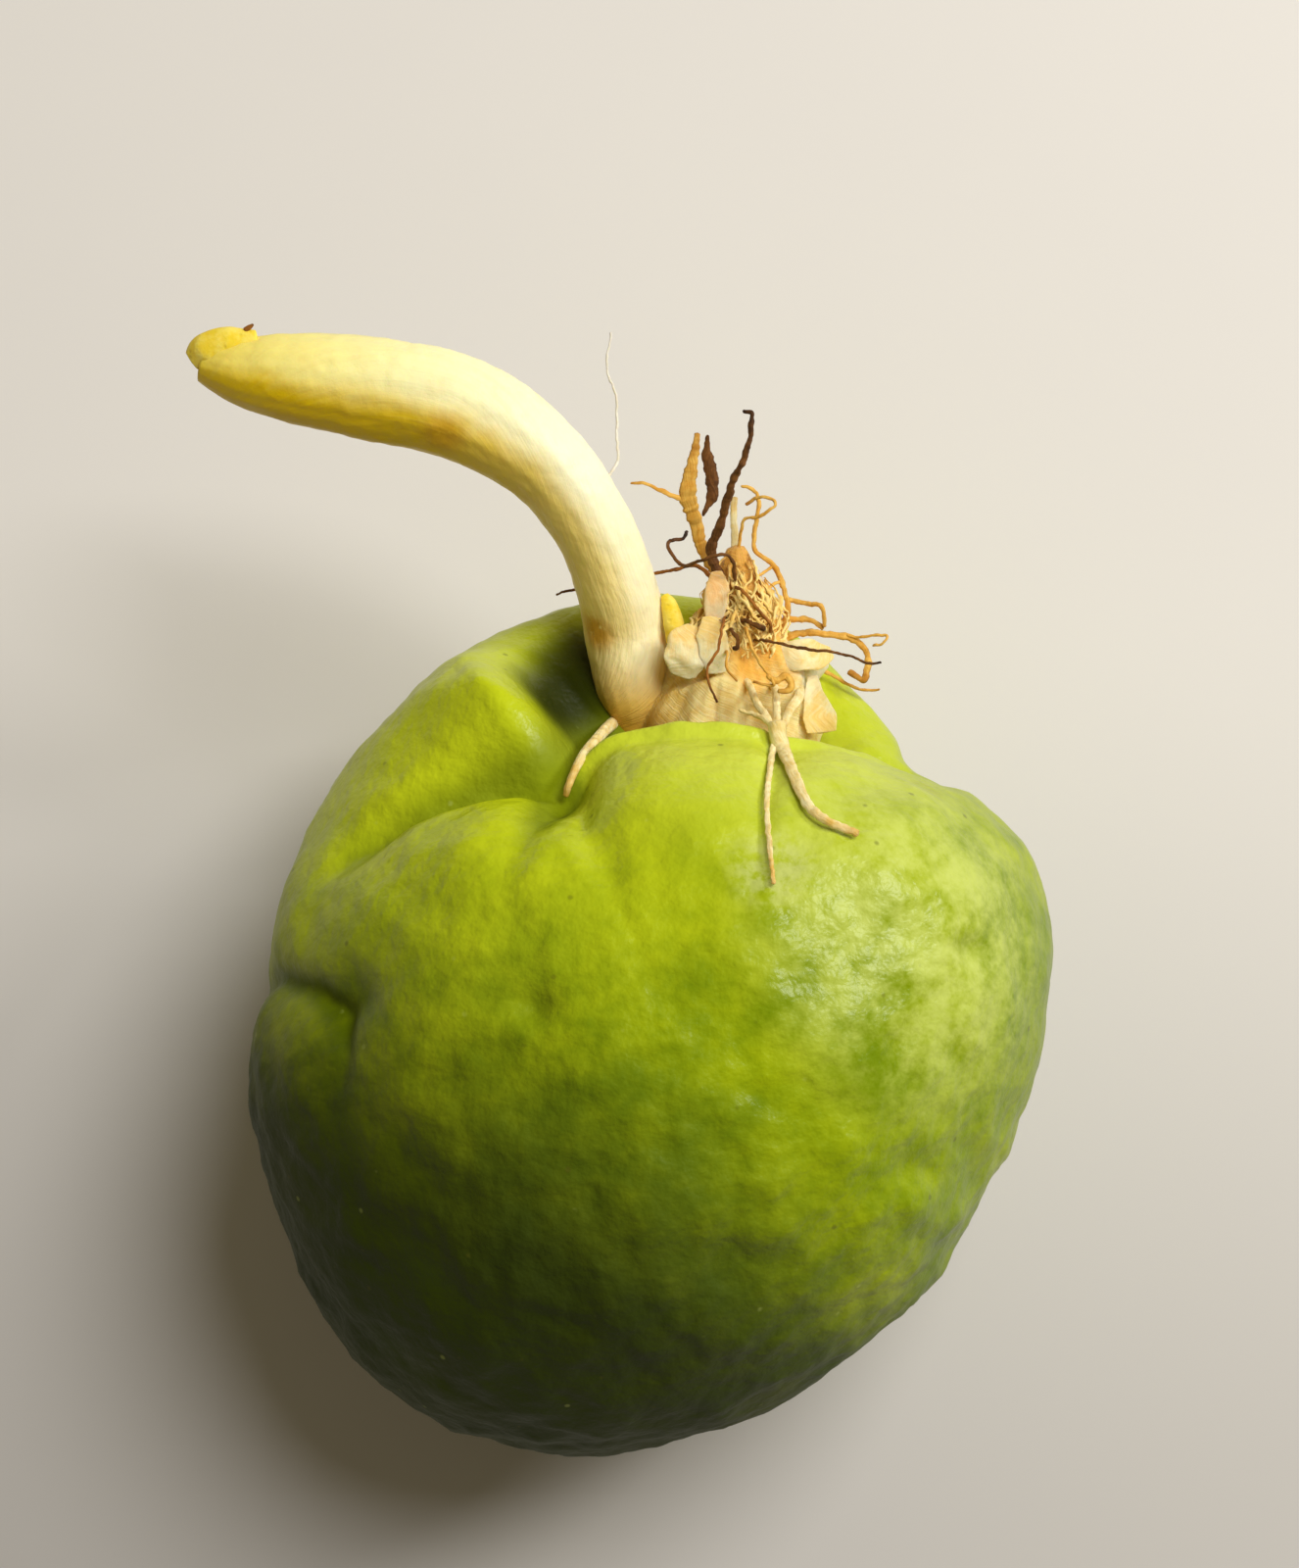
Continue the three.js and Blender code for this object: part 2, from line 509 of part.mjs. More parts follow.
for (const [name, { route, flat, place = byCrown }] of Object.entries(blades)) {
  const blade = strand(route, { place, girth: crownScale, sides: 8, flat });
  add(name, outside(blade, [...grown, clearOfFruit]), name === 'side_bud' ? budYellow : paleFlesh);
}
for (const [name, { route, flat }] of Object.entries(tipPieces)) {
  const scale = strand(route, { place: byShoot, girth: shootGirth, sides: 8, flat });
  add(name, outside(scale, [clearOfShoot]), name === 'shoot_bud' ? budYellow : dryBrown);
}
const brownPieces = [
  'dry_twig', 'dark_sheath', 'root_kinked', 'root_dark_stub', 'root_hook', 'root_long_dark',
];
for (const [name, routes] of Object.entries({ ...dryPieces, ...fineRoots })) {
  const roots = joined(routes.map((route) => strand(route)));
  add(name, outside(roots, [...grown, clearOfFruit]), brownPieces.includes(name) ? dryBrown : dryTan);
}
add('shoot_thread', outside(strand(shootThread, { place: byShoot }), grown), rootCream);

const front = joined([
  ...frontRoots.inCrown.map((route) => strand(route, { place: crownToSkin, sides: 6 })),
  ...frontRoots.overSkin.map((route) => strand(route, { place: onSkin, sides: 6, flat: 0.8 })),
]);
add('front_roots', outside(front, [...grown, clearOfFruit]), rootCream);
const left = strand(leftRoot, { sides: 6 });
add('left_root', outside(left, [...grown, clearOfFruit]), rootCream);

export default chayote;
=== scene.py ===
"""A sprouted chayote lying on its side: green skin, pale shoot, seed crown and a tuft of dry roots.

Shapes are worked out in millimetres around the frame's own pieces and written in metres.
"""
import math

import bpy
import numpy as np
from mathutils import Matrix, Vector, noise


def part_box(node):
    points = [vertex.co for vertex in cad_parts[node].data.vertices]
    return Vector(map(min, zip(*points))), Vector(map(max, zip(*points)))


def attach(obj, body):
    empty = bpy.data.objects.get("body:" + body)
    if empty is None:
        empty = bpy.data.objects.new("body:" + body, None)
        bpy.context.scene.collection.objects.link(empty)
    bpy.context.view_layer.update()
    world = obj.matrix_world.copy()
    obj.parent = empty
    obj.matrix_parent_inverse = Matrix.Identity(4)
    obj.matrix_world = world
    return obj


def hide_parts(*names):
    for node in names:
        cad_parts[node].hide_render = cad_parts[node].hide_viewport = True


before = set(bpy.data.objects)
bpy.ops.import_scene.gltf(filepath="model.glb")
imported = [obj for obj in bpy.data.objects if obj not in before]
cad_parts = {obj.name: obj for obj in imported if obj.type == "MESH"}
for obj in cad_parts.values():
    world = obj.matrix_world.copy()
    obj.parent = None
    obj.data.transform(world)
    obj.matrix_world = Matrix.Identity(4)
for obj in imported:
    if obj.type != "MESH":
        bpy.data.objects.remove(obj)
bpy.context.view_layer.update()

MM = 0.001
TINY = 1e-6


def box_mm(node):
    """The lowest and highest corner of a frame node, in millimetres."""
    return [np.array(corner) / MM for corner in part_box(node)]


# ---- sizes taken from the frame ----
# The tables below describe a fruit of this size, which is stretched to the frame's own.
TABLE_SIZE = np.array([83.84, 90.83, 72.54])
FRUIT_LOW, FRUIT_HIGH = box_mm("fruit")
STRETCH = (FRUIT_HIGH - FRUIT_LOW) / TABLE_SIZE
TABLE_SEAT = np.array([8.0, 33.0, 42.0])  # the middle of the crown in the tables
SEAT = TABLE_SEAT * STRETCH
TABLE_CROWN_RISE = 19.683
CROWN_LOW, CROWN_HIGH = box_mm("seed_crown")
CROWN_SCALE = (CROWN_HIGH - CROWN_LOW)[2] / TABLE_CROWN_RISE

# ---- small helpers on arrays ----


def ramp(low, high, x):
    """0 below low, 1 above high and a smooth step between; high may be the smaller one."""
    t = np.clip((x - low) / (high - low), 0, 1)
    return t * t * (3 - 2 * t)


def bell(x):
    return np.exp(-x * x)


def around(table, degrees):
    """A smooth closed curve through (degrees, value) pairs, read at any angles."""
    angle, value = np.array(table, float).T
    angle = np.concatenate([angle[-2:] - 360, angle, angle[:2] + 360])
    value = np.concatenate([value[-2:], value, value[:2]])
    slope = np.zeros(len(angle))
    slope[1:-1] = (value[2:] - value[:-2]) / (angle[2:] - angle[:-2])
    at = np.mod(degrees - table[0][0], 360) + table[0][0]
    i = np.clip(np.searchsorted(angle, at, side="right") - 1, 1, len(angle) - 3)
    span = angle[i + 1] - angle[i]
    t = (at - angle[i]) / span
    leave, arrive = slope[i] * span, slope[i + 1] * span
    bend = 2 * (value[i] - value[i + 1]) + leave + arrive
    rise = 3 * (value[i + 1] - value[i]) - 2 * leave - arrive
    return ((bend * t + rise) * t + leave) * t + value[i]


def wander(points, size, seed, octaves=3):
    """Smooth noise from about -1 to 1 at each point, for features of that size in millimetres."""
    shift = Vector((seed * 7.3, seed * 3.1, seed * 5.7))
    return np.array([noise.fractal(Vector(point) / size + shift, 1.0, 2.0, octaves) for point in points])


def drift(points, size, seed, octaves=3):
    """A wandering shift for each point."""
    return np.stack([wander(points, size, seed + axis, octaves) for axis in range(3)], -1)


# ---- the fruit's skin ----
MIDDLE_HEIGHT = 36.0
TOP = 36.5
BOTTOM = 37.6
SQUARENESS = 2.15

# Each table reads by the turn in degrees from +X.
# The fruit's half width in plan.
OUTLINE = [
    (0, 41.2), (20, 43.2), (33, 41.6), (44, 39.2), (52, 40.6), (60, 42.2), (70, 44.6),
    (82, 46.3), (98, 46.3), (110, 45.6), (121, 44.2), (133, 43), (150, 42.2), (172, 41),
    (190, 42), (210, 43.7), (230, 46.3), (243, 47), (257, 45.4), (273, 43.4), (290, 41),
    (310, 39.4), (335, 38.8), (348, 39.6),
]
# The elevation at which the mouth's lip runs, in degrees.
LIP = [
    (0, -5), (30, 8), (41, 14), (47, 19), (55, 25), (67, 31), (83, 34), (96, 34), (106, 36),
    (115, 41), (127, 39), (138, 36), (152, 31), (170, 26), (220, 0), (300, -10),
]
# How far the skin above the lip stands back, and over how many degrees that starts.
STAND_BACK = [
    (0, 0), (35, 0), (48, 3), (62, 9), (80, 14.5), (98, 16), (112, 18), (122, 13),
    (138, 7.5), (152, 4), (170, 0), (260, 0),
]
EASE = [(0, 7), (108, 7), (120, 16), (136, 26), (156, 24), (175, 7), (270, 7)]
# How deep the mouth is cut in, and the depth of the crease inside its lip.
MOUTH = [
    (0, 0), (40, 0), (50, 5), (60, 13), (75, 18), (90, 20), (102, 18), (108, 11), (113, 4),
    (119, 0), (250, 0),
]
CREASE = [
    (0, 0), (34, 0), (42, 2.5), (50, 2), (60, 0), (100, 0), (114, 2.5), (122, 4.2),
    (138, 3.6), (150, 2.2), (164, 0), (250, 0),
]
# Each groove: its route over the plan, its width, and its depth at start, middle and end.
GROOVES = [
    ([(-9.5, 22.5), (-12.5, 16.5), (-14.5, 11.5), (-15, 7)], 2.4, (2.8, 1.3, 0)),
    ([(12.5, 29.5), (11.5, 20.5), (10, 13), (8.5, 6.5), (7.5, 2)], 1.0, (0.7, 0.5, 0)),
    ([(-44, 2.5), (-39, 3.5), (-35, 1.5), (-32, -1.5), (-31, -5), (-31, -9.5), (-32.5, -13.5)],
     1.7, (1.2, 2.3, 0)),
    ([(-32.5, 5.5), (-30, 0.5), (-27.5, -4.5)], 3.4, (0.2, 1.5, 0.1)),
    ([(-30, -7.5), (-27.5, -11.5), (-23, -17), (-20, -20), (-15.5, -23.5)], 2.8, (0.1, 0.7, 0.1)),
    ([(-29, -19), (-24, -25.5), (-18.5, -29.5), (-12, -32.5)], 2.4, (0.1, 0.7, 0.1)),
    ([(-33.5, -26), (-28, -33), (-23.5, -37), (-17, -40)], 2.2, (0.1, 0.7, 0.2)),
    ([(20, -13.5), (24.5, -16), (27.5, -16.5), (33, -16.5)], 2.6, (0.1, 0.8, 0.2)),
    ([(27.5, 28.5), (29.5, 26), (31, 22.5)], 1.5, (1.5, 0.8, 0)),
    ([(15, 3), (15, -8), (14.5, -18)], 2.6, (0, 0.25, 0)),
]
# Dents, and bumps where the depth is negative: x, y, reach along x and y, depth.
SPOTS = [
    (-11.5, -2, 2.2, 2, 1.1), (-13, -4, 1.5, 1.3, -0.25), (31, 5, 1.8, 1.4, 0.7),
    (23.5, -5, 1.2, 1.2, 0.3), (7.5, -27, 4.6, 2.8, 0.8), (3.5, -34, 1.7, 1.4, 0.3),
    (12, -31.5, 5, 3.2, -0.5), (-7, 17.5, 0.9, 2, 0.35), (-37.5, -8, 6.5, 8.5, -1.3),
    (26, -20, 4.4, 2.3, -0.6), (25.5, -23, 2.2, 1.4, 0.3), (-17, 14, 6, 5, -0.9),
    (2, 20, 8, 8, -1.2), (21, 17, 9, 9, -1.2), (-4, -10, 9, 6, -0.4), (10, 8, 5, 14, -0.4),
    (-22, -2, 5, 5, -0.5), (34, 0, 4, 9, -0.3), (6, -14, 5, 4, 0.3), (-2, -22, 5, 4, -0.4),
    (-14, -14, 5, 4, 0.3), (18, -4, 6, 5, -0.3),
]
# Long furrows from the stem end to the mouth: turn about Y from +X, depth, width.
FURROWS = [(-12, 0.9, 4.5), (-48, 1.1, 5), (-92, 1.0, 5.5), (-134, 1.2, 5), (-168, 0.9, 4.5)]
# The pit at the stem end: its direction in x and z, its reach and its depth.
STEM_PIT = (0.08, -0.12, 4.2, 2.2)
CREASE_UNDER_LIP = 3  # degrees
CREASE_WIDTH = 3.6  # degrees


def groove_depth(route, width, depth, x, y):
    """How deep one groove is under the plan points x, y."""
    route = np.array(route, float)
    steps = np.diff(route, axis=0)
    lengths = np.hypot(*steps.T)
    nearest, share = np.full(x.shape, np.inf), np.zeros(x.shape)
    for i, (step, length) in enumerate(zip(steps, lengths)):
        along = np.clip((x - route[i, 0]) * step[0] + (y - route[i, 1]) * step[1], 0, length**2) / length
        off = np.hypot(x - route[i, 0] - along * step[0] / length,
                       y - route[i, 1] - along * step[1] / length)
        closer = off < nearest
        nearest = np.where(closer, off, nearest)
        share = np.where(closer, (lengths[:i].sum() + along) / lengths.sum(), share)
    start, middle, end = depth
    first = start + (middle - start) * ramp(0, 0.5, share)
    deep = np.where(share < 0.5, first, middle + (end - middle) * ramp(0.5, 1, share))
    return deep * np.exp(-((nearest / width) ** 1.6))


def skin_radius(directions):
    """Distance from the fruit's middle to its skin, and how deep each point lies in a dent."""
    x, y, z = directions.T
    azimuth = np.degrees(np.arctan2(y, x))
    elevation = np.degrees(np.arcsin(np.clip(z, -1, 1)))
    over_lip = elevation - around(LIP, azimuth)
    ease = around(EASE, azimuth)
    back = around(STAND_BACK, azimuth) * ramp(0, 1, (over_lip + ease) / (ease + 5))
    wide = around(OUTLINE, azimuth) - back
    high = np.where(z > 0, TOP, BOTTOM)
    level = np.sqrt(np.maximum(1 - z * z, 0))
    whole = ((level / wide) ** SQUARENESS + (np.abs(z) / high) ** SQUARENESS) ** (-1 / SQUARENESS)
    cavity = around(MOUTH, azimuth) * ramp(2, 22, elevation) * ramp(3, -7, over_lip)
    fold = around(CREASE, azimuth) * bell((over_lip + CREASE_UNDER_LIP) / CREASE_WIDTH)
    r = whole - cavity - fold

    plan_x, plan_y = r * x, r * y
    dent = sum(groove_depth(*groove, plan_x, plan_y) for groove in GROOVES)
    for at_x, at_y, reach_x, reach_y, depth in SPOTS:
        dent = dent + depth * bell(np.hypot((plan_x - at_x) / reach_x, (plan_y - at_y) / reach_y))
    dent = dent * ramp(-0.15, 0.25, z)
    r = r - dent

    turn = np.degrees(np.arctan2(z, x))
    aside = np.hypot(x, z)
    for at, depth, width in FURROWS:
        off = np.radians(np.mod(turn - at + 180, 360) - 180) * aside * r
        r = r - depth * bell(off / width) * ramp(0.15, 0.6, aside)
    pit_x, pit_z, reach, depth = STEM_PIT
    r = r - depth * bell(np.hypot(x - pit_x, z - pit_z) * r / reach) * ramp(0, -0.5, y)
    table = np.where(z < -TINY, MIDDLE_HEIGHT / np.maximum(-z, TINY), np.inf)
    return np.minimum(r, table), dent + 0.5 * fold + 0.14 * cavity


def unit_ball(cells):
    """Directions of a cube's grid pushed out to a ball, welded along its edges, and its quads."""
    steps = np.tan(np.linspace(-np.pi / 4, np.pi / 4, cells + 1))
    a, b = np.meshgrid(steps, steps)
    one = np.ones_like(a)
    sides = [(a, b, one), (-a, b, -one), (one, a, b), (-one, -a, b), (-a, one, b), (a, -one, b)]
    points = np.concatenate([np.stack(side, -1).reshape(-1, 3) for side in sides])
    index = np.arange((cells + 1) ** 2).reshape(cells + 1, cells + 1)
    quad = np.stack([index[:-1, :-1], index[:-1, 1:], index[1:, 1:], index[1:, :-1]], -1)
    quads = np.concatenate([quad.reshape(-1, 4) + n * index.size for n in range(6)])
    points, welded = np.unique(np.round(points, 9), axis=0, return_inverse=True)
    return points / np.linalg.norm(points, axis=1, keepdims=True), welded.reshape(-1)[quads]


# ---- strands: everything that is drawn out along a route ----


def by_crown(route):
    """Route points placed from the crown's seat, and their half widths."""
    route = np.array(route, float)
    return (route[:, :3] - TABLE_SEAT) * CROWN_SCALE + SEAT, route[:, 3] * CROWN_SCALE


def smooth_curve(points, count):
    """A smooth curve through the points: places at even steps, and where each lies in the list."""
    padded = np.vstack([2 * points[0] - points[1], points, 2 * points[-1] - points[-2]])
    fine = np.linspace(0, len(points) - 1, 60 * len(points))
    i = np.minimum(fine.astype(int), len(points) - 2)
    t = (fine - i)[:, None]
    p0, p1, p2, p3 = (padded[i + n] for n in range(4))
    curve = 0.5 * (2 * p1 + (p2 - p0) * t + (2 * p0 - 5 * p1 + 4 * p2 - p3) * t**2
                   + (3 * p1 - p0 - 3 * p2 + p3) * t**3)
    passed = np.concatenate([[0], np.cumsum(np.linalg.norm(np.diff(curve, axis=0), axis=1))])
    even = np.linspace(0, passed[-1], count)
    places = np.stack([np.interp(even, passed, curve[:, n]) for n in range(3)], -1)
    return places, np.interp(even, passed, fine), passed[-1]


class Tube:
    """A closed tube along a route. Rows run along it and columns around it."""

    def __init__(self, points, half_width, sides=12, step=0.25, flat=1.0, blunt=0.0):
        rows = max(int(smooth_curve(points, 2)[2] / step), 12)
        self.places, knot, self.length = smooth_curve(points, rows)
        self.share = np.linspace(0, 1, rows)
        # Half widths are averaged over a tenth of the rows, so that none changes abruptly.
        reach = rows // 20
        half_width = np.interp(knot, np.arange(len(points)), half_width)
        half_width = np.pad(half_width, reach, "reflect", reflect_type="odd")
        self.half_width = np.convolve(half_width, np.ones(2 * reach + 1) / (2 * reach + 1), "valid")
        if blunt:
            left = np.minimum(self.share, 1 - self.share) * self.length
            inside = np.clip(left / blunt, 0, 1)
            self.half_width = self.half_width * np.sqrt(1 - (1 - inside) ** 2)
        along = np.gradient(self.places, axis=0)
        self.along = along / np.linalg.norm(along, axis=1, keepdims=True)
        across = np.cross(self.along, (0, 0, 1))
        self.across = across / np.linalg.norm(across, axis=1, keepdims=True)
        self.down = np.cross(self.along, self.across)
        self.turn = np.linspace(0, 2 * np.pi, sides, endpoint=False)
        self.wide = np.repeat(self.half_width[:, None], sides, axis=1)
        self.thick = self.wide * flat

    def grid(self):
        """Skin points, one row of them for each place."""
        side = -np.cos(self.turn)[None, :, None] * self.wide[..., None] * self.across[:, None]
        drop = np.sin(self.turn)[None, :, None] * self.thick[..., None] * self.down[:, None]
        return self.places[:, None] + side + drop

    def middles(self):
        """The middle of the tube beside each vertex of its mesh."""
        inner = np.repeat(self.places[1:-1], len(self.turn), axis=0)
        return np.vstack([inner, self.places[:1], self.places[-1:]])

    def mesh(self):
        """Vertices, faces and, for each vertex, how far along and around it lies in millimetres."""
        grid = self.grid()[1:-1]
        rows, sides = grid.shape[:2]
        points = np.vstack([grid.reshape(-1, 3), self.places[:1], self.places[-1:]])
        index = np.arange(rows * sides).reshape(rows, sides)
        after = np.roll(index, -1, axis=1)
        faces = np.stack([index[:-1], index[1:], after[1:], after[:-1]], -1).reshape(-1, 4).tolist()
        first, last = rows * sides, rows * sides + 1
        faces += [[first, int(i), int(j)] for i, j in zip(index[0], after[0])]
        faces += [[last, int(j), int(i)] for i, j in zip(index[-1], after[-1])]
        far = np.repeat(self.share[1:-1] * self.length, sides)
        round_ = np.tile(self.turn, rows) * np.repeat(self.half_width[1:-1], sides)
        flow = np.stack([far, round_, np.repeat(self.share[1:-1], sides)], -1)
        flow = np.vstack([flow, [0, 0, 0], [self.length, 0, 1]])
        return points, faces, flow


def make_piece(name, parts, material, nodes=(), extra=None):
    """One visible piece from meshes in millimetres; it stands for the frame nodes given."""
    points, faces, flows = [], [], []
    start = 0
    for part_points, part_faces, flow in parts:
        points.append(part_points)
        faces += [[i + start for i in face] for face in part_faces]
        flows.append(flow)
        start += len(part_points)
    mesh = bpy.data.meshes.new(name)
    mesh.from_pydata((np.vstack(points) * MM).tolist(), [], faces)
    mesh.validate()
    attribute = mesh.attributes.new("flow", "FLOAT_VECTOR", "POINT")
    attribute.data.foreach_set("vector", np.vstack(flows).astype(np.float32).ravel())
    for key, values in (extra or {}).items():
        mesh.attributes.new(key, "FLOAT", "POINT").data.foreach_set("value", values.astype(np.float32))
    mesh.shade_smooth()
    mesh.materials.append(material)
    piece = bpy.data.objects.new(name, mesh)
    bpy.context.scene.collection.objects.link(piece)
    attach(piece, "root")
    if nodes:
        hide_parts(*nodes)


# ---- materials ----


def tone(red, green, blue):
    """A colour given as it shows on a screen, 0 to 255, as the linear one that nodes take."""
    shares = [level / 255 for level in (red, green, blue)]
    linear = [((c + 0.055) / 1.055) ** 2.4 if c > 0.0393 else c / 12.92 for c in shares]
    return (*linear, 1.0)


class Field:
    """A number or colour that varies over a surface. Arithmetic on it adds Math nodes."""

    def __init__(self, paint, socket):
        self.paint = paint
        self.socket = socket

    def math(self, operation, *values):
        return self.paint.node("Math", {"operation": operation}, dict(enumerate(values)))

    def __add__(self, other):
        return self.math("ADD", self, other)

    def __sub__(self, other):
        return self.math("SUBTRACT", self, other)

    def __rsub__(self, other):
        return self.math("SUBTRACT", other, self)

    def __mul__(self, other):
        return self.math("MULTIPLY", self, other)

    def __truediv__(self, other):
        return self.math("DIVIDE", self, other)

    def step(self, low, high):
        """0 where this is below low and 1 above high, smooth between; high may be the smaller."""
        settings = {"interpolation_type": "SMOOTHSTEP"}
        if low < high:
            return self.paint.node("MapRange", settings, {0: self, 1: low, 2: high, 3: 0.0, 4: 1.0})
        return self.paint.node("MapRange", settings, {0: self, 1: high, 2: low, 3: 1.0, 4: 0.0})

    __radd__ = __add__
    __rmul__ = __mul__


class Paint:
    """One node material, built up from fields."""

    def __init__(self, name):
        self.material = bpy.data.materials.new(name)
        self.material.use_nodes = True
        self.tree = self.material.node_tree
        self.shader = self.tree.nodes["Principled BSDF"]

    def node(self, kind, settings=None, sockets=None, output=0):
        """Any node: its settings first, then the values or links of its sockets."""
        made = self.tree.nodes.new("ShaderNode" + kind)
        for key, value in (settings or {}).items():
            setattr(made, key, value)
        for key, value in (sockets or {}).items():
            self.feed(made.inputs[key], value)
        return Field(self, made.outputs[output])

    def feed(self, socket, value):
        if isinstance(value, Field):
            self.tree.links.new(value.socket, socket)
        else:
            socket.default_value = value

    def set(self, **sockets):
        """Sockets of the surface itself, by name with _ for a space."""
        for name, value in sockets.items():
            self.feed(self.shader.inputs[name.replace("_", " ")], value)

    def place(self):
        """Where a point lies, in millimetres."""
        here = self.node("TexCoord", output="Object")
        return self.node("VectorMath", {"operation": "SCALE"}, {0: here, "Scale": 1 / MM})

    def flow(self):
        """Along a strand and around it in millimetres, and the share of the way along."""
        flow = self.node("Attribute", {"attribute_name": "flow"}, output="Vector")
        return [self.node("SeparateXYZ", None, {0: flow}, axis) for axis in "XYZ"]

    def number(self, name):
        return self.node("Attribute", {"attribute_name": name}, output="Fac")

    def vector(self, x, y, z=0.0):
        return self.node("CombineXYZ", None, {0: x, 1: y, 2: z})

    def noise(self, where, size, detail=3.0, rough=0.55, shift=0.0):
        """Soft noise around 0.5, in patches of that size in the units of where."""
        moved = self.node("VectorMath", {"operation": "ADD"}, {0: where, 1: (shift, 2 * shift, -shift)})
        sockets = {"Vector": moved, "Scale": 1 / size, "Detail": detail, "Roughness": rough}
        return self.node("TexNoise", None, sockets, "Fac")

    def dots(self, where, size, radius):
        """Round dots scattered that far apart: 1 inside a dot."""
        far = self.node("TexVoronoi", None, {"Vector": where, "Scale": 1 / size}, "Distance")
        return far.step(radius * 1.6, radius * 0.6)

    def near(self, where, point, inner, outer):
        """1 within inner millimetres of a point, 0 past outer."""
        far = self.node("VectorMath", {"operation": "DISTANCE"}, {0: where, 1: tuple(point)}, "Value")
        return far.step(outer, inner)

    def mix(self, share, a, b):
        """Colour a where the share is 0 and colour b where it is 1."""
        return self.node("Mix", {"data_type": "RGBA"}, {0: share, 6: a, 7: b}, 2)

    def ramp(self, value, stops):
        """Colours along a value from 0 to 1."""
        field = self.node("ValToRGB", None, {0: value})
        elements = field.socket.node.color_ramp.elements
        while len(elements) < len(stops):
            elements.new(0.5)
        for element, (position, colour) in zip(elements, stops):
            element.position = position
            element.color = colour
        return field

    def bump(self, *layers):
        """Bump from layers of (height field, depth in millimetres), each on top of the last."""
        normal = None
        for height, depth in layers:
            sockets = {"Height": height, "Distance": depth * MM, "Strength": 1.0}
            if normal:
                sockets["Normal"] = normal
            normal = self.node("Bump", None, sockets, "Normal")
        self.set(Normal=normal)


# Painted shadow that darkens the hollow of the mouth beside the shoot: place and reach.
HOLLOW_PAINTED_SHADOW = [(SEAT + (-16, 2, 6), 9), (SEAT + (-16, 7, 4), 7)]
LIP_MIDDLE = SEAT + (2, -7, 12)
BLOOM_AND_HIGHLIGHT_MIDDLE = SEAT + (15, -27, 16)
SCAR = np.array([28.5, 24.5, 55]) * STRETCH
STAIN = np.array([11.5, 12, 70]) * STRETCH


def green_skin():
    """Waxy green skin: broad patches, fine mottling, pale flecks and an orange-peel surface, with painted
    light and shade.
    """
    paint = Paint("green_skin")
    here = paint.place()
    broad = paint.noise(here, 24, 2)
    patch = paint.noise(here, 6, 4, 0.6, 11)
    fine = paint.noise(here, 1.5, 4, 0.65, 23)
    x, y, z = [paint.node("SeparateXYZ", None, {0: here}, axis) for axis in "XYZ"]

    shade = (broad * 0.9 + patch * 0.5 + fine * 0.25 - 0.32).step(0.25, 0.85)
    colour = paint.mix(shade, tone(106, 130, 0), tone(168, 182, 0))
    # Painted shade darkens the skin towards the stem end, which faces away from the light.
    stem_end_painted_shade = (x * 0.010 + y * 0.016 + broad * 0.2 + patch * 0.1 - 0.15).step(0.02, -0.6)
    colour = paint.mix(stem_end_painted_shade * 0.94, colour, tone(34, 44, 0))
    # Painted light brightens the side towards the mouth and the top, where the light falls; round the mouth
    # the skin itself is palest.
    painted_light_side = (y * 0.020 - x * 0.004 + z * 0.007 + patch * 0.35 + fine * 0.1 - 0.52).step(0.0, 0.75)
    colour = paint.mix(painted_light_side * 0.85, colour, tone(196, 206, 24))
    lip = paint.near(here, LIP_MIDDLE, 6, 24)
    colour = paint.mix(lip * 0.6, colour, tone(204, 214, 70))
    # Waxy bloom in pale, blotchy patches over the upper face, with a painted highlight where the lamp's
    # reflection falls.
    bloom_and_painted_highlight = paint.near(here, BLOOM_AND_HIGHLIGHT_MIDDLE, 8, 23) * (patch * 0.6 + fine * 0.5).step(0.36, 0.7)
    colour = paint.mix(bloom_and_painted_highlight * 0.6, colour, tone(206, 216, 120))
    # Painted shade: creases, dents and the hollow of the mouth are painted a deeper green, where shade falls
    # in them.
    dent = paint.number("dent")
    colour = paint.mix(dent.step(0.1, 1.6) * 0.6, colour, tone(66, 84, 0))
    for place, reach in HOLLOW_PAINTED_SHADOW:
        shadow = paint.near(here, place, reach * 0.4, reach)
        colour = paint.mix(shadow * 0.94, colour, tone(16, 24, 0))
    # Pale flecks, a few dark pores, a brown scar and a pale stain.
    flecks = paint.dots(here, 3.4, 0.07) * patch.step(0.5, 0.62)
    colour = paint.mix(flecks * 0.25, colour, tone(200, 210, 110))
    pores = paint.dots(here, 5.3, 0.05)
    colour = paint.mix(pores * 0.5, colour, tone(80, 78, 12))
    scar = paint.near(here, SCAR, 0.8, 3.4) * fine.step(0.4, 0.56)
    colour = paint.mix(scar * 0.7, colour, tone(136, 104, 36))
    stain = paint.near(here, STAIN, 1.5, 6) * fine.step(0.35, 0.6)
    colour = paint.mix(stain * 0.35, colour, tone(206, 208, 150))

    grain = paint.noise(here, 0.55, 2, 0.5, 5)
    peel = paint.noise(here, 1.3, 2, 0.5, 7)
    rough = 0.18 + 0.2 * patch + 0.16 * fine + dent.step(0.8, 2.6) * 0.6 + stem_end_painted_shade * 0.35
    paint.set(Base_Color=colour, Roughness=rough, Specular_IOR_Level=0.36)
    paint.bump((paint.noise(here, 4.5, 2, 0.5, 9), 0.4), (peel, 0.18), (grain, 0.06))
    return paint.material


# Golden bruises on the shoot: place, full reach, fading reach and strength.
BRUISES = [
    ((-5.8, 40.3, 48.2), 0.9, 3.0, 0.9),
    ((-21.5, 57.2, 62.0), 0.8, 3.4, 0.6),
    ((1.2, 39.6, 47.0), 0.2, 1.0, 0.9),
]


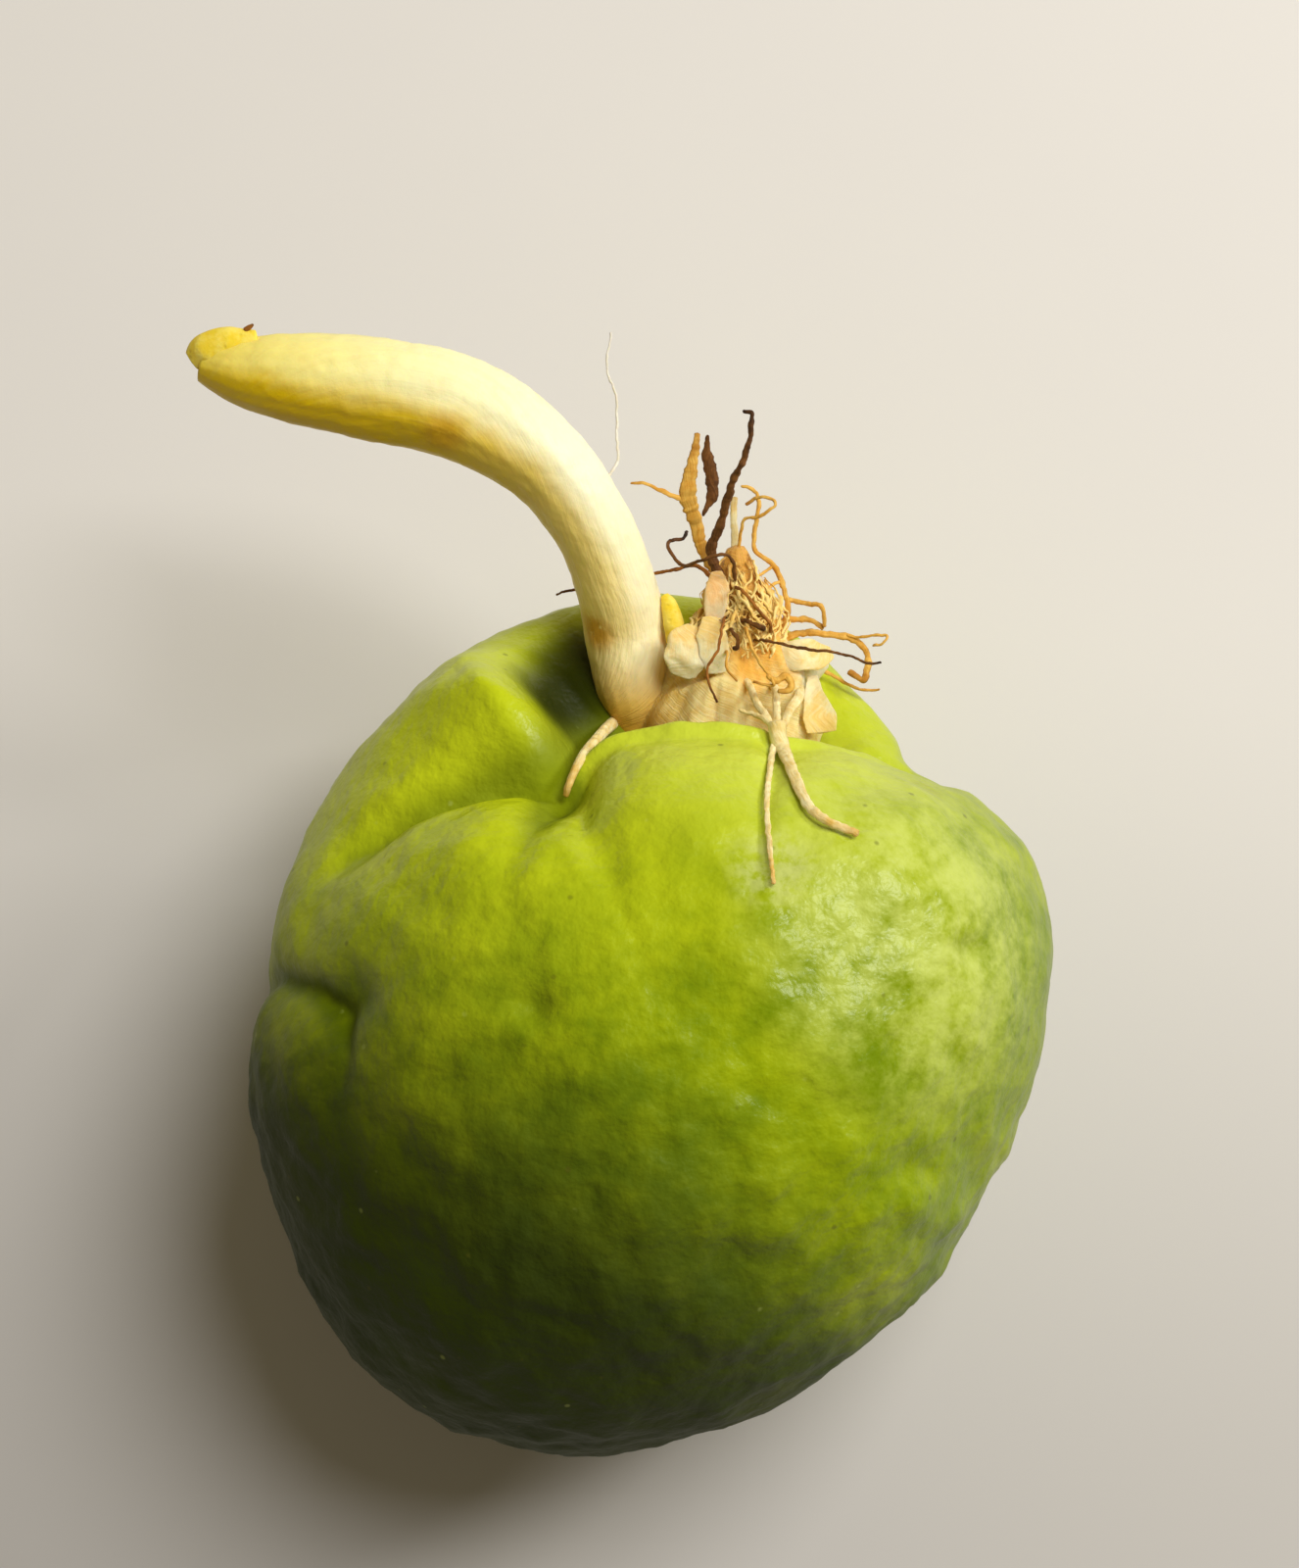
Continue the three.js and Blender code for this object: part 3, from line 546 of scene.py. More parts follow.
def shoot_skin():
    """The shoot: cream at its foot and yellow at its tip, streaked lengthwise, with painted light on the
    side facing the light and painted golden shade on the other.
    """
    paint = Paint("shoot_skin")
    here = paint.place()
    along, round_, share = paint.flow()
    streak = paint.noise(paint.vector(along * 0.05, round_ * 0.9), 1.0, 4, 0.6)
    cloud = paint.noise(here, 5, 3, 0.55, 3)
    fine = paint.noise(here, 0.7, 3, 0.6, 13)
    light_facing = paint.number("light_facing")
    # Lit and shaded copies of the shoot's colour: pale with painted light where it faces the light, gold
    # with painted shade where it faces away.
    pale = paint.ramp(share, [
        (0.0, tone(208, 152, 40)), (0.05, tone(230, 190, 96)), (0.12, tone(255, 240, 188)),
        (0.42, tone(255, 248, 208)), (0.66, tone(255, 246, 186)), (0.86, tone(252, 236, 138)),
        (1.0, tone(250, 222, 84)),
    ])
    painted_shade_gold = paint.ramp(share, [
        (0.0, tone(196, 138, 20)), (0.05, tone(222, 176, 70)), (0.12, tone(250, 224, 150)),
        (0.42, tone(248, 218, 116)), (0.66, tone(238, 200, 14)), (0.86, tone(232, 194, 0)),
        (1.0, tone(236, 202, 6)),
    ])
    turned = (light_facing + cloud * 0.5 + streak * 0.2 - 0.35).step(0.3, -0.45)
    colour = paint.mix(turned, pale, painted_shade_gold)
    colour = paint.mix(streak.step(0.5, 0.75) * 0.15, colour, tone(232, 200, 100))
    colour = paint.mix(cloud.step(0.55, 0.8) * 0.25, colour, tone(224, 186, 72))
    for point, inner, outer, strength in BRUISES:
        mark = paint.near(here, point * STRETCH, inner, outer) * (cloud * 0.6 + fine * 0.8).step(0.4, 0.66)
        colour = paint.mix(mark * strength, colour, tone(206, 144, 20))
    paint.set(Base_Color=colour, Roughness=0.36 + 0.2 * cloud, Specular_IOR_Level=0.45)
    paint.set(Subsurface_Weight=0.2, Subsurface_Radius=(0.004, 0.0024, 0.0006), Subsurface_Scale=0.4)
    hairs = paint.noise(paint.vector(along * 0.45, round_ * 2.6), 1.0, 2, 0.5, 4)
    paint.bump((streak, 0.1), (hairs * share.step(0.5, 0.1), 0.16), (fine, 0.06))
    return paint.material


FLESH_SEAM = SEAT + (-9, -3, 5)
ORANGE_HOLLOW = SEAT + (2.8, 4.2, 5.5)
WHITE_PATCH = SEAT + (8.5, 4, 3)
NECK_DRIES = (41.5, 46)  # along Y, in the tables


def pale_flesh():
    """The crown: cream with fine fibres, orange in its hollow and brown where its neck has dried."""
    paint = Paint("pale_flesh")
    here = paint.place()
    along, round_, _ = paint.flow()
    fibre = paint.noise(paint.vector(along * 0.12, round_ * 2.2), 1.0, 4, 0.65)
    cloud = paint.noise(here, 3.2, 4, 0.6, 8)
    fine = paint.noise(here, 0.6, 3, 0.6, 17)
    colour = paint.mix(cloud.step(0.35, 0.7), tone(250, 226, 150), tone(228, 184, 80))
    colour = paint.mix(fibre.step(0.4, 0.8) * 0.4, colour, tone(255, 246, 208))
    colour = paint.mix(fibre.step(0.42, 0.28) * 0.45, colour, tone(226, 184, 96))
    seam = paint.near(here, FLESH_SEAM, 0.8, 4.2)
    colour = paint.mix(seam * 0.8, colour, tone(186, 132, 26))
    hollow = paint.near(here, ORANGE_HOLLOW, 2.0, 5.5) * cloud.step(0.25, 0.5)
    colour = paint.mix(hollow * 0.9, colour, tone(255, 190, 78))
    white = paint.near(here, WHITE_PATCH, 1.5, 4.5)
    colour = paint.mix(white * 0.8, colour, tone(255, 246, 214))
    dry = paint.node("SeparateXYZ", None, {0: here}, "Y") / STRETCH[1]
    dry = (dry + cloud * 6).step(*NECK_DRIES)
    colour = paint.mix(dry * 0.9, colour, tone(226, 164, 66))
    dark = dry * (cloud * 0.5 + fine * 0.5).step(0.52, 0.66)
    colour = paint.mix(dark * 0.8, colour, tone(128, 72, 20))
    paint.set(Base_Color=colour, Roughness=0.34 + 0.2 * cloud, Specular_IOR_Level=0.45)
    paint.set(Subsurface_Weight=0.35, Subsurface_Radius=(0.004, 0.0028, 0.0014), Subsurface_Scale=0.5)
    paint.bump((fibre, 0.2), (cloud, 0.2), (fine, 0.06))
    return paint.material


def thin_scale(name, light, deep, edge):
    """A thin, half-clear scale of the seed, whiter along its rim and folds."""
    paint = Paint(name)
    here = paint.place()
    along, round_, share = paint.flow()
    fibre = paint.noise(paint.vector(along * 0.2, round_ * 1.6), 1.0, 4, 0.6)
    cloud = paint.noise(here, 1.8, 4, 0.6, 6)
    colour = paint.mix((cloud * 0.8 + share * 0.5 - 0.2).step(0.25, 0.6), light, deep)
    colour = paint.mix(fibre.step(0.4, 0.8) * 0.45, colour, edge)
    paint.set(Base_Color=colour, Roughness=0.34 + 0.2 * cloud, Specular_IOR_Level=0.45)
    paint.set(Subsurface_Weight=0.4, Subsurface_Radius=(0.003, 0.0022, 0.0012), Subsurface_Scale=0.5)
    paint.bump((fibre, 0.12), (cloud, 0.2))
    return paint.material


def dry_fibre(name, light, dark, tip, rough=0.7):
    """Dry root: fibrous, uneven in colour and darker towards its tip."""
    paint = Paint(name)
    here = paint.place()
    along, round_, share = paint.flow()
    fibre = paint.noise(paint.vector(along * 0.5, round_ * 4), 1.0, 3, 0.6)
    patch = paint.noise(here, 1.6, 4, 0.65, 3)
    colour = paint.mix((patch * 0.7 + fibre * 0.5).step(0.4, 0.8), light, dark)
    colour = paint.mix((share + patch * 0.5).step(0.95, 1.35) * 0.9, colour, tip)
    paint.set(Base_Color=colour, Roughness=rough + 0.15 * patch)
    paint.set(Subsurface_Weight=0.1, Subsurface_Radius=(0.001, 0.0006, 0.0002))
    paint.bump((fibre, 0.12), (patch, 0.1))
    return paint.material


def soft_bud():
    """The young folded bud: warm yellow, downy, with a few faint creases."""
    paint = Paint("bud_yellow")
    here = paint.place()
    cloud = paint.noise(here, 1.4, 3, 0.6, 2)
    colour = paint.mix(cloud.step(0.35, 0.7), tone(244, 212, 50), tone(252, 228, 104))
    crease = paint.dots(here, 1.1, 0.16)
    colour = paint.mix(crease * 0.12, colour, tone(190, 170, 20))
    paint.set(Base_Color=colour, Roughness=0.55 + 0.1 * cloud)
    paint.set(Subsurface_Weight=0.2, Subsurface_Radius=(0.002, 0.0014, 0.0004), Subsurface_Scale=0.5)
    paint.bump((cloud, 0.15), (crease, -0.04))
    return paint.material


def table_top():
    """A plain pale table, with painted shade that makes it a little greyer nearer the viewer."""
    paint = Paint("table_top")
    here = paint.place()
    cloud = paint.noise(here, 60, 3)
    # Painted shade: the light falls off towards the near end.
    painted_shade_near_end = paint.node("SeparateXYZ", None, {0: here}, "Y").step(60, -70)
    colour = paint.mix(cloud, tone(224, 219, 212), tone(228, 223, 215))
    colour = paint.mix(painted_shade_near_end * 0.9, colour, tone(196, 191, 184))
    paint.set(Base_Color=colour, Roughness=0.75, Specular_IOR_Level=0.2)
    return paint.material


SKIN = green_skin()
SHOOT = shoot_skin()
FLESH = pale_flesh()
SCALE = thin_scale("pale_scale", tone(255, 236, 182), tone(250, 206, 118), tone(255, 246, 210))
PINK = thin_scale("pink_scale", tone(250, 220, 168), tone(240, 186, 112), tone(252, 236, 200))
BUD = soft_bud()
MAT = dry_fibre("fibre_mat", tone(255, 234, 156), tone(246, 196, 92), tone(200, 140, 54))
TAN = dry_fibre("dry_tan", tone(242, 194, 94), tone(212, 148, 48), tone(164, 104, 32))
RUST = dry_fibre("dry_rust", tone(176, 112, 40), tone(120, 68, 22), tone(78, 44, 18))
BROWN = dry_fibre("dry_brown", tone(132, 84, 36), tone(76, 44, 18), tone(38, 22, 12))
CREAM = dry_fibre("root_cream", tone(250, 236, 180), tone(230, 198, 112), tone(212, 160, 46), 0.45)
THREAD = dry_fibre("pale_thread", tone(240, 234, 216), tone(226, 214, 184), tone(236, 230, 212), 0.5)
CLEAR = dry_fibre("clear_sheath", tone(236, 222, 170), tone(222, 196, 120), tone(210, 168, 88), 0.5)

# ---- the fruit ----
FRUIT_CELLS = 127


def build_fruit():
    directions, quads = unit_ball(FRUIT_CELLS)
    radius, dent = skin_radius(directions)
    above = ramp(-0.9, -0.7, directions[:, 2])
    places = directions * radius[:, None]
    rough = wander(places, 11, 1) * 0.5 + wander(places, 4, 2) * 0.2
    # The skin is lumpier over the half towards the stem end, away from the roots.
    lumpy = ramp(2, -14, places[:, 1])
    rough = rough + lumpy * (wander(places, 7, 3) * 0.5 + wander(places, 3.2, 4) * 0.12)
    points = directions * (radius + rough * above)[:, None]
    points[:, 2] += MIDDLE_HEIGHT
    points[:, 2] = np.maximum(points[:, 2], 0)
    flow = np.zeros_like(points)
    make_piece("fruit_skin", [(points * STRETCH, quads.tolist(), flow)], SKIN, ["fruit"],
               {"dent": dent})


build_fruit()

# ---- the crown ----
# A round collar that narrows to a neck, and a shoulder on its right: x, y, z, half width.
CROWN_ROUTE = [
    (8, 25.5, 35.5, 4.5), (8, 28, 37.5, 9), (8, 31, 40, 10.5), (8.2, 34, 42, 9.8),
    (8.6, 38, 44.5, 6.5), (9, 42, 46.5, 4.2), (8.8, 46, 48, 2.7), (8.5, 49, 49, 0.8),
]
SHOULDER_ROUTE = [(8.5, 35.5, 43, 2.3), (12, 37, 43.5, 3), (16, 37.5, 43.5, 2.4), (18.5, 38, 43.5, 0.5)]
# Hollows in the crown's flesh: place, reach and depth.
HOLLOWS = [((10.5, 37.5, 50), 2.6, 1.4), ((8.5, 33, 51.5), 3.0, 0.4)]
# Seams in it, and folds where the depth is negative: a route over the plan, width, depths.
CROWN_FOLDS = [
    ([(0.5, 34), (3.5, 34.7), (6, 35.5), (8, 35)], 0.45, (0.3, 0.9, 0.4)),
    ([(-1, 28), (0.5, 31), (2, 34)], 0.8, (-0.2, -0.6, -0.3)),
    ([(3.5, 27), (4, 30), (4.5, 34)], 0.9, (-0.2, -0.7, -0.4)),
    ([(6, 27), (6.2, 31), (6.5, 34.5)], 0.4, (0.2, 0.7, 0.2)),
    ([(8, 27), (8.2, 31), (8.5, 34.5)], 0.9, (-0.3, -0.8, -0.5)),
    ([(10.5, 28), (10.5, 31), (10, 34)], 0.4, (0.2, 0.6, 0.2)),
    ([(13, 28), (13.5, 31), (14.5, 35), (16, 38)], 0.9, (-0.3, -0.9, -0.8)),
    ([(15.5, 29), (16, 33)], 0.4, (0.2, 0.6, 0.2)),
    ([(7, 36), (8.5, 36.5), (9, 38)], 0.6, (-0.3, -0.6, -0.3)),
]
NECK_FIBRES = 110


def build_crown():
    """A plump fibrous collar with a hollow above it, a neck and a shoulder."""
    tube = Tube(*by_crown(CROWN_ROUTE), sides=176, step=0.18)
    share = tube.share[:, None]
    fibres = 0.008 * np.sin(tube.turn * 31 + 5 * share) + 0.006 * np.sin(tube.turn * 47 - 4 * share)
    folds = 0.03 * np.sin(tube.turn * 5 + 3 * share) + 0.02 * np.sin(tube.turn * 11 + 7 * share)
    tube.wide = tube.wide * (1 + fibres + folds * ramp(0.3, 0.5, share))
    tube.thick = tube.wide
    body, faces, flow = tube.mesh()
    out = (body - SEAT) / np.linalg.norm(body - SEAT, axis=1, keepdims=True)
    plan = (body - SEAT) / CROWN_SCALE + TABLE_SEAT
    lumps = 0.25 * wander(body, 5, 5) + 0.2 * wander(body, 1.6, 6) * ramp(36, 41, plan[:, 1])
    for route, width, depth in CROWN_FOLDS:
        lumps -= groove_depth(route, width, depth, plan[:, 0], plan[:, 1]) * ramp(42, 46, plan[:, 2])
    # The neck is slimmer where its mat of fibres lies.
    lumps -= 0.7 * ramp(40, 42.5, plan[:, 1]) * ramp(49, 47, plan[:, 1])
    for place, reach, depth in HOLLOWS:
        lumps -= depth * bell(np.linalg.norm(plan - place, axis=1) / reach)
    body = body + out * lumps[:, None]
    shoulder = Tube(*by_crown(SHOULDER_ROUTE), sides=64, step=0.16)
    side, side_faces, side_flow = shoulder.mesh()
    side = side + 0.3 * wander(side, 2.2, 6)[:, None] * np.array([0.3, 0.5, 1.0])
    make_piece("seed_crown_flesh", [(body, faces, flow), (side, side_faces, side_flow)], FLESH,
               ["seed_crown"])


def build_neck_fibres():
    """The mat of dry fibres that wraps the neck, each one lying along it with its own drift."""
    chance = np.random.default_rng(11)
    neck = Tube(*by_crown(CROWN_ROUTE), sides=8, step=0.1)
    parts = []
    for _ in range(NECK_FIBRES):
        start = chance.uniform(0.62, 0.76)
        shares = np.linspace(start, start + chance.uniform(0.1, 0.22), 9)
        rows = np.minimum((shares * len(neck.share)).astype(int), len(neck.share) - 2)
        turn = chance.uniform(0.05, 0.95) * math.pi + math.pi + chance.uniform(-1, 1) * (shares - start) * 8
        lift = 0.92 + chance.uniform(0, 0.34) * np.sin(np.linspace(0, math.pi, 9))
        side = -np.cos(turn)[:, None] * neck.across[rows] + np.sin(turn)[:, None] * neck.down[rows]
        points = neck.places[rows] + side * (neck.half_width[rows] * lift)[:, None]
        half_width = np.full(9, chance.uniform(0.07, 0.17))
        fibre = Tube(points, half_width, sides=7, step=0.16, flat=0.7, blunt=0.2)
        mesh_points, faces, flow = fibre.mesh()
        parts.append((mesh_points + 0.4 * drift(mesh_points, 1.1, 50, 2), faces, flow))
    make_piece("neck_fibres", parts, MAT, ())


build_crown()
build_neck_fibres()

# ---- the shoot ----
SHOOT_ROUTE = [
    (-2, 30, 42.5, 1.8), (-2, 33, 43, 3.7), (-3, 40.5, 45, 4.4), (-4, 45, 48.5, 4.2),
    (-6.5, 50.5, 52.5, 4.1), (-11.5, 56.5, 56, 4.6), (-19, 61, 58, 5.4), (-28, 63, 59, 5.4),
    (-36.5, 64, 60, 4.7), (-41, 64.5, 60, 3.8), (-44.5, 65.2, 60, 3), (-46.4, 65.7, 60, 1.9),
]
LIGHT_FACING_SIDE = np.array([0.55, 0.8, 0.25])  # painted light keeps the shoot pale on the side facing this way, painted shade turns the other side gold


def build_shoot():
    """A fat curved shoot with a soft ridge down its front and a rounded foot."""
    tube = Tube(*by_crown(SHOOT_ROUTE), sides=120, step=0.28)
    share = tube.share[:, None]
    ridge = 0.05 * bell((np.mod(tube.turn - 2.2 + 1.2 * share, 2 * np.pi) - np.pi) / 0.35) * (1 - share)
    ribs = 0.008 * np.sin(tube.turn * 7 + 3 * share) + 0.005 * np.sin(tube.turn * 17 - 5 * share)
    tube.wide = tube.wide * (1 + ridge + ribs)
    tube.thick = tube.wide
    points, faces, flow = tube.mesh()
    out = points - tube.middles()
    points = points + out * (0.03 * wander(points, 5, 3) + 0.012 * wander(points, 1.4, 4))[:, None]
    # How far each point faces the light, for the shoot's painted light and shade.
    light_facing = out @ LIGHT_FACING_SIDE / np.maximum(np.linalg.norm(out, axis=1), 0.01)
    make_piece("shoot_flesh", [(points, faces, flow)], SHOOT, ["shoot"], {"light_facing": light_facing})


build_shoot()

# ---- half widths along a route ----
ROOT_THICKNESS = 0.36
TAPROOT_THICKNESS = 1.5


def tapered(thickness, start, end, route):
    """Adds half widths that change steadily, from start to end as shares of a thickness."""
    shares = np.linspace(start, end, len(route))
    return [(*point, thickness / 2 * share) for point, share in zip(route, shares)]


def swollen(ends, middle, route):
    """Adds half widths that are largest in the middle, as shares of a fine root's thickness."""
    shares = ends + (middle - ends) * np.sin(np.linspace(0, math.pi, len(route)))
    return [(*point, ROOT_THICKNESS / 2 * share) for point, share in zip(route, shares)]


def fine(start, end, route):
    return tapered(ROOT_THICKNESS, start, end, route)


def thick(start, end, route):
    return tapered(TAPROOT_THICKNESS, start, end, route)


# ---- scales and buds ----


BLADE_SIDES = 40
# Piece, node, material, slot, shape, seed and routes. The shape is how flat each one is, how far
# its edges curl up and how far it ruffles, as shares of its width.
BLADES = [
    ("folded_scale", "seed_fold", SCALE, "pale_flesh", (0.3, 0.15, 0.12), 12, [
        [(3, 35, 49.7, 1.3), (3.2, 36.5, 50.4, 2.3), (3.6, 38.5, 50.6, 2.2), (4.4, 40.3, 50.2, 0.9)],
        [(6.4, 35.2, 50.2, 0.9), (6.2, 37, 50.9, 1.6), (6, 39, 51, 1.7), (5.8, 41.2, 50.4, 0.7)]]),
    ("right_flap", "seed_flap_right", SCALE, "pale_flesh", (0.14, 0.25, 0.08), 10, [
        [(16.6, 36, 45.6, 0.5), (16.8, 33.5, 46.8, 1.1), (17.2, 31.2, 47.4, 1.8), (17.4, 29.4, 47.4, 1.5)]]),
    ("back_flap", "seed_flap_back", SCALE, "pale_flesh", (0.3, 0.3, 0.1), 9, [
        [(12.8, 37.2, 47.2, 1.2), (15, 37.6, 47.8, 1.8), (17, 37.8, 47.2, 1.6), (18.6, 38.2, 46.4, 0.6)]]),
    ("tuft_scale", "crown_scale", PINK, "pale_flesh", (0.4, 0.3, 0.12), 7, [
        [(6.2, 40.5, 49.6, 0.8), (6.4, 42.5, 50.2, 1.3), (6.6, 44.5, 50.4, 1.2), (6.5, 46, 50.4, 0.5)]]),
    ("small_bud", "side_bud", BUD, "bud_yellow", (0.7, 0, 0.06), 8, [
        [(2, 39, 47, 0.7), (2, 41, 48, 1.1), (1.5, 43, 48.5, 0.8), (1, 44, 48.5, 0.4)]]),
    ("tip_bud", "shoot_bud", BUD, "bud_yellow", (0.72, 0, 0.05), 5, [
        [(-47.2, 65.6, 60.6, 1.2), (-45.8, 66.5, 61.3, 1.9), (-43.2, 67.3, 61.9, 1.6),
         (-40.4, 67.8, 62.4, 0.5)]]),
    ("tip_speck", "tip_scale", RUST, "dry_brown", (0.4, 0, 0.2), 3, [
        [(-41.8, 68.2, 62.6, 0.25), (-41.2, 68.5, 62.8, 0.3), (-40.7, 68.8, 63, 0.12)]]),
]


def build_blade(name, node, material, slot, shape, seed, routes):
    """Thin scales and buds: flattened tubes, curled up at their edges and ruffled."""
    flat, curl, ruffle = shape
    parts = []
    for route in routes:
        tube = Tube(*by_crown(route), sides=BLADE_SIDES, step=0.1, flat=flat)
        points, faces, flow = tube.mesh()
        edge = np.cos(np.tile(tube.turn, len(tube.share) - 2)) ** 2
        lift = np.repeat(tube.half_width[1:-1], BLADE_SIDES) * edge * curl
        points[: len(lift), 2] += lift
        width = route[1][3]
        parts.append((points + ruffle * width * drift(points, 2.4, seed), faces, flow))
    make_piece(name, parts, material, [node])


for blade in BLADES:
    build_blade(*blade)

# ---- dry sheaths and roots ----
# Each is one piece, and its routes branch off one another.
STRANDS = {
    "dry_twig": [fine(3.4, 1, [
        (7.5, 44.5, 49), (6, 48, 50), (7, 51, 52.5), (8, 54, 55.5), (9.5, 57, 57.5), (10, 60.5, 58.5),
        (9, 61, 58.5)])],
    "pale_sheath": [
        swollen(1.5, 4.6, [
            (7, 45, 47), (5, 49, 49), (4, 52, 51.5), (3.5, 54, 53), (4, 57, 54), (4.5, 60, 54)]),
        fine(1.8, 0.6, [(3.5, 53, 52), (1.5, 53.5, 53.5), (-1, 54.5, 54), (-2.5, 54.5, 54)])],
    "dark_sheath": [swollen(0.8, 4.2, [
        (5.5, 60, 53), (5.5, 58, 52), (6, 56, 51), (6, 54, 50.5), (5, 52, 50)])],
    "clear_sheath": [fine(2.4, 1.8, [(9, 46, 46), (8.5, 50, 45.5), (8.5, 53, 45), (8.5, 55.5, 44.5)])],
    "root_kinked": [fine(1.1, 1.1, [
        (8.5, 45, 50.5), (8, 46.5, 53), (7, 47, 54), (5, 46.5, 53.5), (3, 46.5, 51), (1.5, 49, 49.5),
        (2, 50, 48), (3, 50.5, 47), (3.5, 51.5, 46)])],
    "root_behind_shoot": [fine(1.3, 0.7, [
        (6.5, 46, 46), (4.5, 48, 44.5), (2.5, 48, 43.5), (-1.5, 47.5, 42), (-6, 46.5, 41.5),
        (-9, 46, 42), (-10.5, 45.5, 41.5)])],
    "root_hoop": [
        fine(1, 2, [
            (9, 56, 47.5), (10.5, 55.5, 47.5), (11, 54, 47.5), (10.5, 49.5, 47), (12.5, 47.5, 47),
            (13.5, 45.5, 46.5), (14, 43, 46), (13, 39.5, 44.5)]),
        fine(0.9, 0.9, [(12.5, 47.5, 47), (11.5, 46.5, 47.5), (10.5, 46, 48)]),
        fine(1, 1, [(13.5, 46, 46.5), (12.5, 45.5, 47), (11.5, 44.5, 47)]),
        fine(1.6, 1.2, [(14, 44, 46), (16, 43.5, 46.5), (17.5, 43, 47), (18, 41, 46)]),
        fine(2, 1.6, [(14, 42, 45.5), (16, 42, 45.5), (18, 41, 45.5)])],
    "root_loop": [fine(1, 1, [
        (8.5, 47.5, 48.5), (9, 50, 50), (9.5, 51.5, 51), (11, 51.5, 52), (12.5, 52.5, 52.5),
        (12, 53.5, 52), (10.5, 53.5, 51.5), (9.5, 53, 51)])],
    "root_brown_line": [fine(1, 1, [
        (8, 45, 49), (9, 43.5, 52.5), (10.5, 41.5, 53), (12, 40, 52), (12, 39.5, 48.5)])],
    "root_dark_stub": [fine(1, 1.7, [(8.5, 41, 49), (9.5, 40.5, 51.5), (11.5, 39.5, 52)])],
    "root_hook": [fine(1.2, 1.2, [
        (8, 40.5, 48.5), (8, 39.5, 51.5), (8.5, 38.5, 52.5), (8.5, 37.5, 52.5), (8, 37.5, 52.5)])],
    "root_long_dark": [fine(1, 0.7, [
        (10, 39, 48), (11.5, 38.5, 51.5), (15, 37.5, 52), (19, 37, 52), (22, 36, 52), (23.5, 36, 52)])],
    "root_fan": [
        fine(2.2, 1.8, [
            (12.5, 39, 43), (15, 41, 43), (18.5, 41, 43), (21, 40.5, 43), (22.5, 39, 43), (22.5, 37, 43),
            (22, 36, 43), (20.5, 37, 43)]),
        fine(1, 0.8, [
            (20, 41, 43), (21.5, 40.5, 43.5), (23, 40.5, 44), (24.5, 40.5, 44.5), (24, 39.5, 44.5),
            (23, 39.5, 44)])],
    "root_curl_low": [fine(1.6, 0.7, [
        (14, 38, 43.5), (17, 37.5, 42.5), (19.5, 36.5, 41.5), (22, 35.5, 40.5), (24, 35.5, 40.5)])],
    "root_hang_left": [fine(0.9, 0.7, [
        (7.5, 42, 49), (7, 39.5, 53), (6.5, 37, 54), (5.5, 35, 54), (5.5, 33.5, 54), (6.5, 31.5, 53.5)])],
    "root_hang_mid": [fine(0.9, 0.7, [(7.5, 38, 49.5), (7.5, 36.5, 53.5), (7.5, 35, 54), (8.5, 33.5, 54)])],
    "root_curl": [
        fine(1, 0.8, [
            (9.5, 40.5, 49.5), (9.5, 39, 53), (10.5, 36, 54.5), (12, 33.5, 55), (12, 33, 54.5),
            (10, 33.5, 54.5)]),
        swollen(1.2, 2.2, [
            (11.5, 34, 55), (12.5, 33.5, 54.5), (13.5, 34, 54.5), (14, 33, 54.5), (13.5, 32.5, 54.5),
            (12.5, 32.5, 54.5)])],
    # A pale thread from the far side of the shoot.
    "shoot_thread": [fine(0.9, 0.6, [
        (-7, 54, 51), (-4, 57.5, 50), (-4, 61, 50), (-4, 65, 50), (-5, 68, 50), (-4.5, 72, 50)])],
}
DARK = ["dry_twig", "dark_sheath", "root_kinked", "root_dark_stub", "root_hook", "root_long_dark"]
RUSTY = ["root_brown_line", "root_hang_left", "root_behind_shoot"]
STRAND_LOOKS = {
    **dict.fromkeys(DARK, (BROWN, "dry_brown")), **dict.fromkeys(RUSTY, (RUST, "dry_brown")),
    "clear_sheath": (CLEAR, "pale_flesh"), "shoot_thread": (THREAD, "root_cream"),
}
FLATTENED = {"pale_sheath": 0.35, "dark_sheath": 0.4, "clear_sheath": 0.35, "root_fan": 0.7}
ROOT_SIDES = 10
FIRST_ROOT_SEED = 100
ROOT_SEED_STEP = 40
ROUTE_SEED_STEP = 7


def build_root(node, routes, seed):
    """Thin roots that wriggle and swell a little along their length."""
    material, slot = STRAND_LOOKS.get(node, (TAN, "dry_tan"))
    flat = FLATTENED.get(node, 0.85)
    parts = []
    for route in routes:
        seed += ROUTE_SEED_STEP
        tube = Tube(*by_crown(route), sides=ROOT_SIDES, step=0.1, flat=flat, blunt=0.15)
        points, faces, flow = tube.mesh()
        centre = tube.middles()
        wriggle = drift(centre, 1.3, seed) * 0.14
        swell = 1 + 0.25 * wander(centre, 0.7, seed + 5)
        parts.append((centre + (points - centre) * swell[:, None] + wriggle, faces, flow))
    make_piece(node + "_fibre", parts, material, [node])


for count, (node, routes) in enumerate(STRANDS.items()):
    build_root(node, routes, FIRST_ROOT_SEED + ROOT_SEED_STEP * count)

# ---- the stout roots ----
LIP_EDGE = 26.5  # past this the skin turns down into the mouth
HEIGHT_STEP = 0.02


def skin_height(x, y):
    """Height of the skin over a plan point of the unstretched fruit."""
    z = np.arange(TOP + 5, 0, -HEIGHT_STEP)
    points = np.stack([np.full_like(z, x), np.full_like(z, min(y, LIP_EDGE)), z], -1)
    far = np.linalg.norm(points, axis=1)
    inside = far < skin_radius(points / far[:, None])[0]
    return z[np.argmax(inside)] + MIDDLE_HEIGHT


def on_skin(x, y, height):
    """A plan point of the unstretched fruit, that high over its skin in the frame."""
    return np.array([x, y, skin_height(x, y)]) * STRETCH + np.array([0, 0, height])


def crown_to_skin(route):
    """A route from the crown whose last point is given by its height over the skin."""
    points, half_width = by_crown(route)
    points[-1] = on_skin(*route[-1][:3])
    return points, half_width


def over_skin(route):
    """A route given by its height over the skin, as points and half widths."""
    return np.array([on_skin(*point[:3]) for point in route]), np.array([point[3] for point in route])


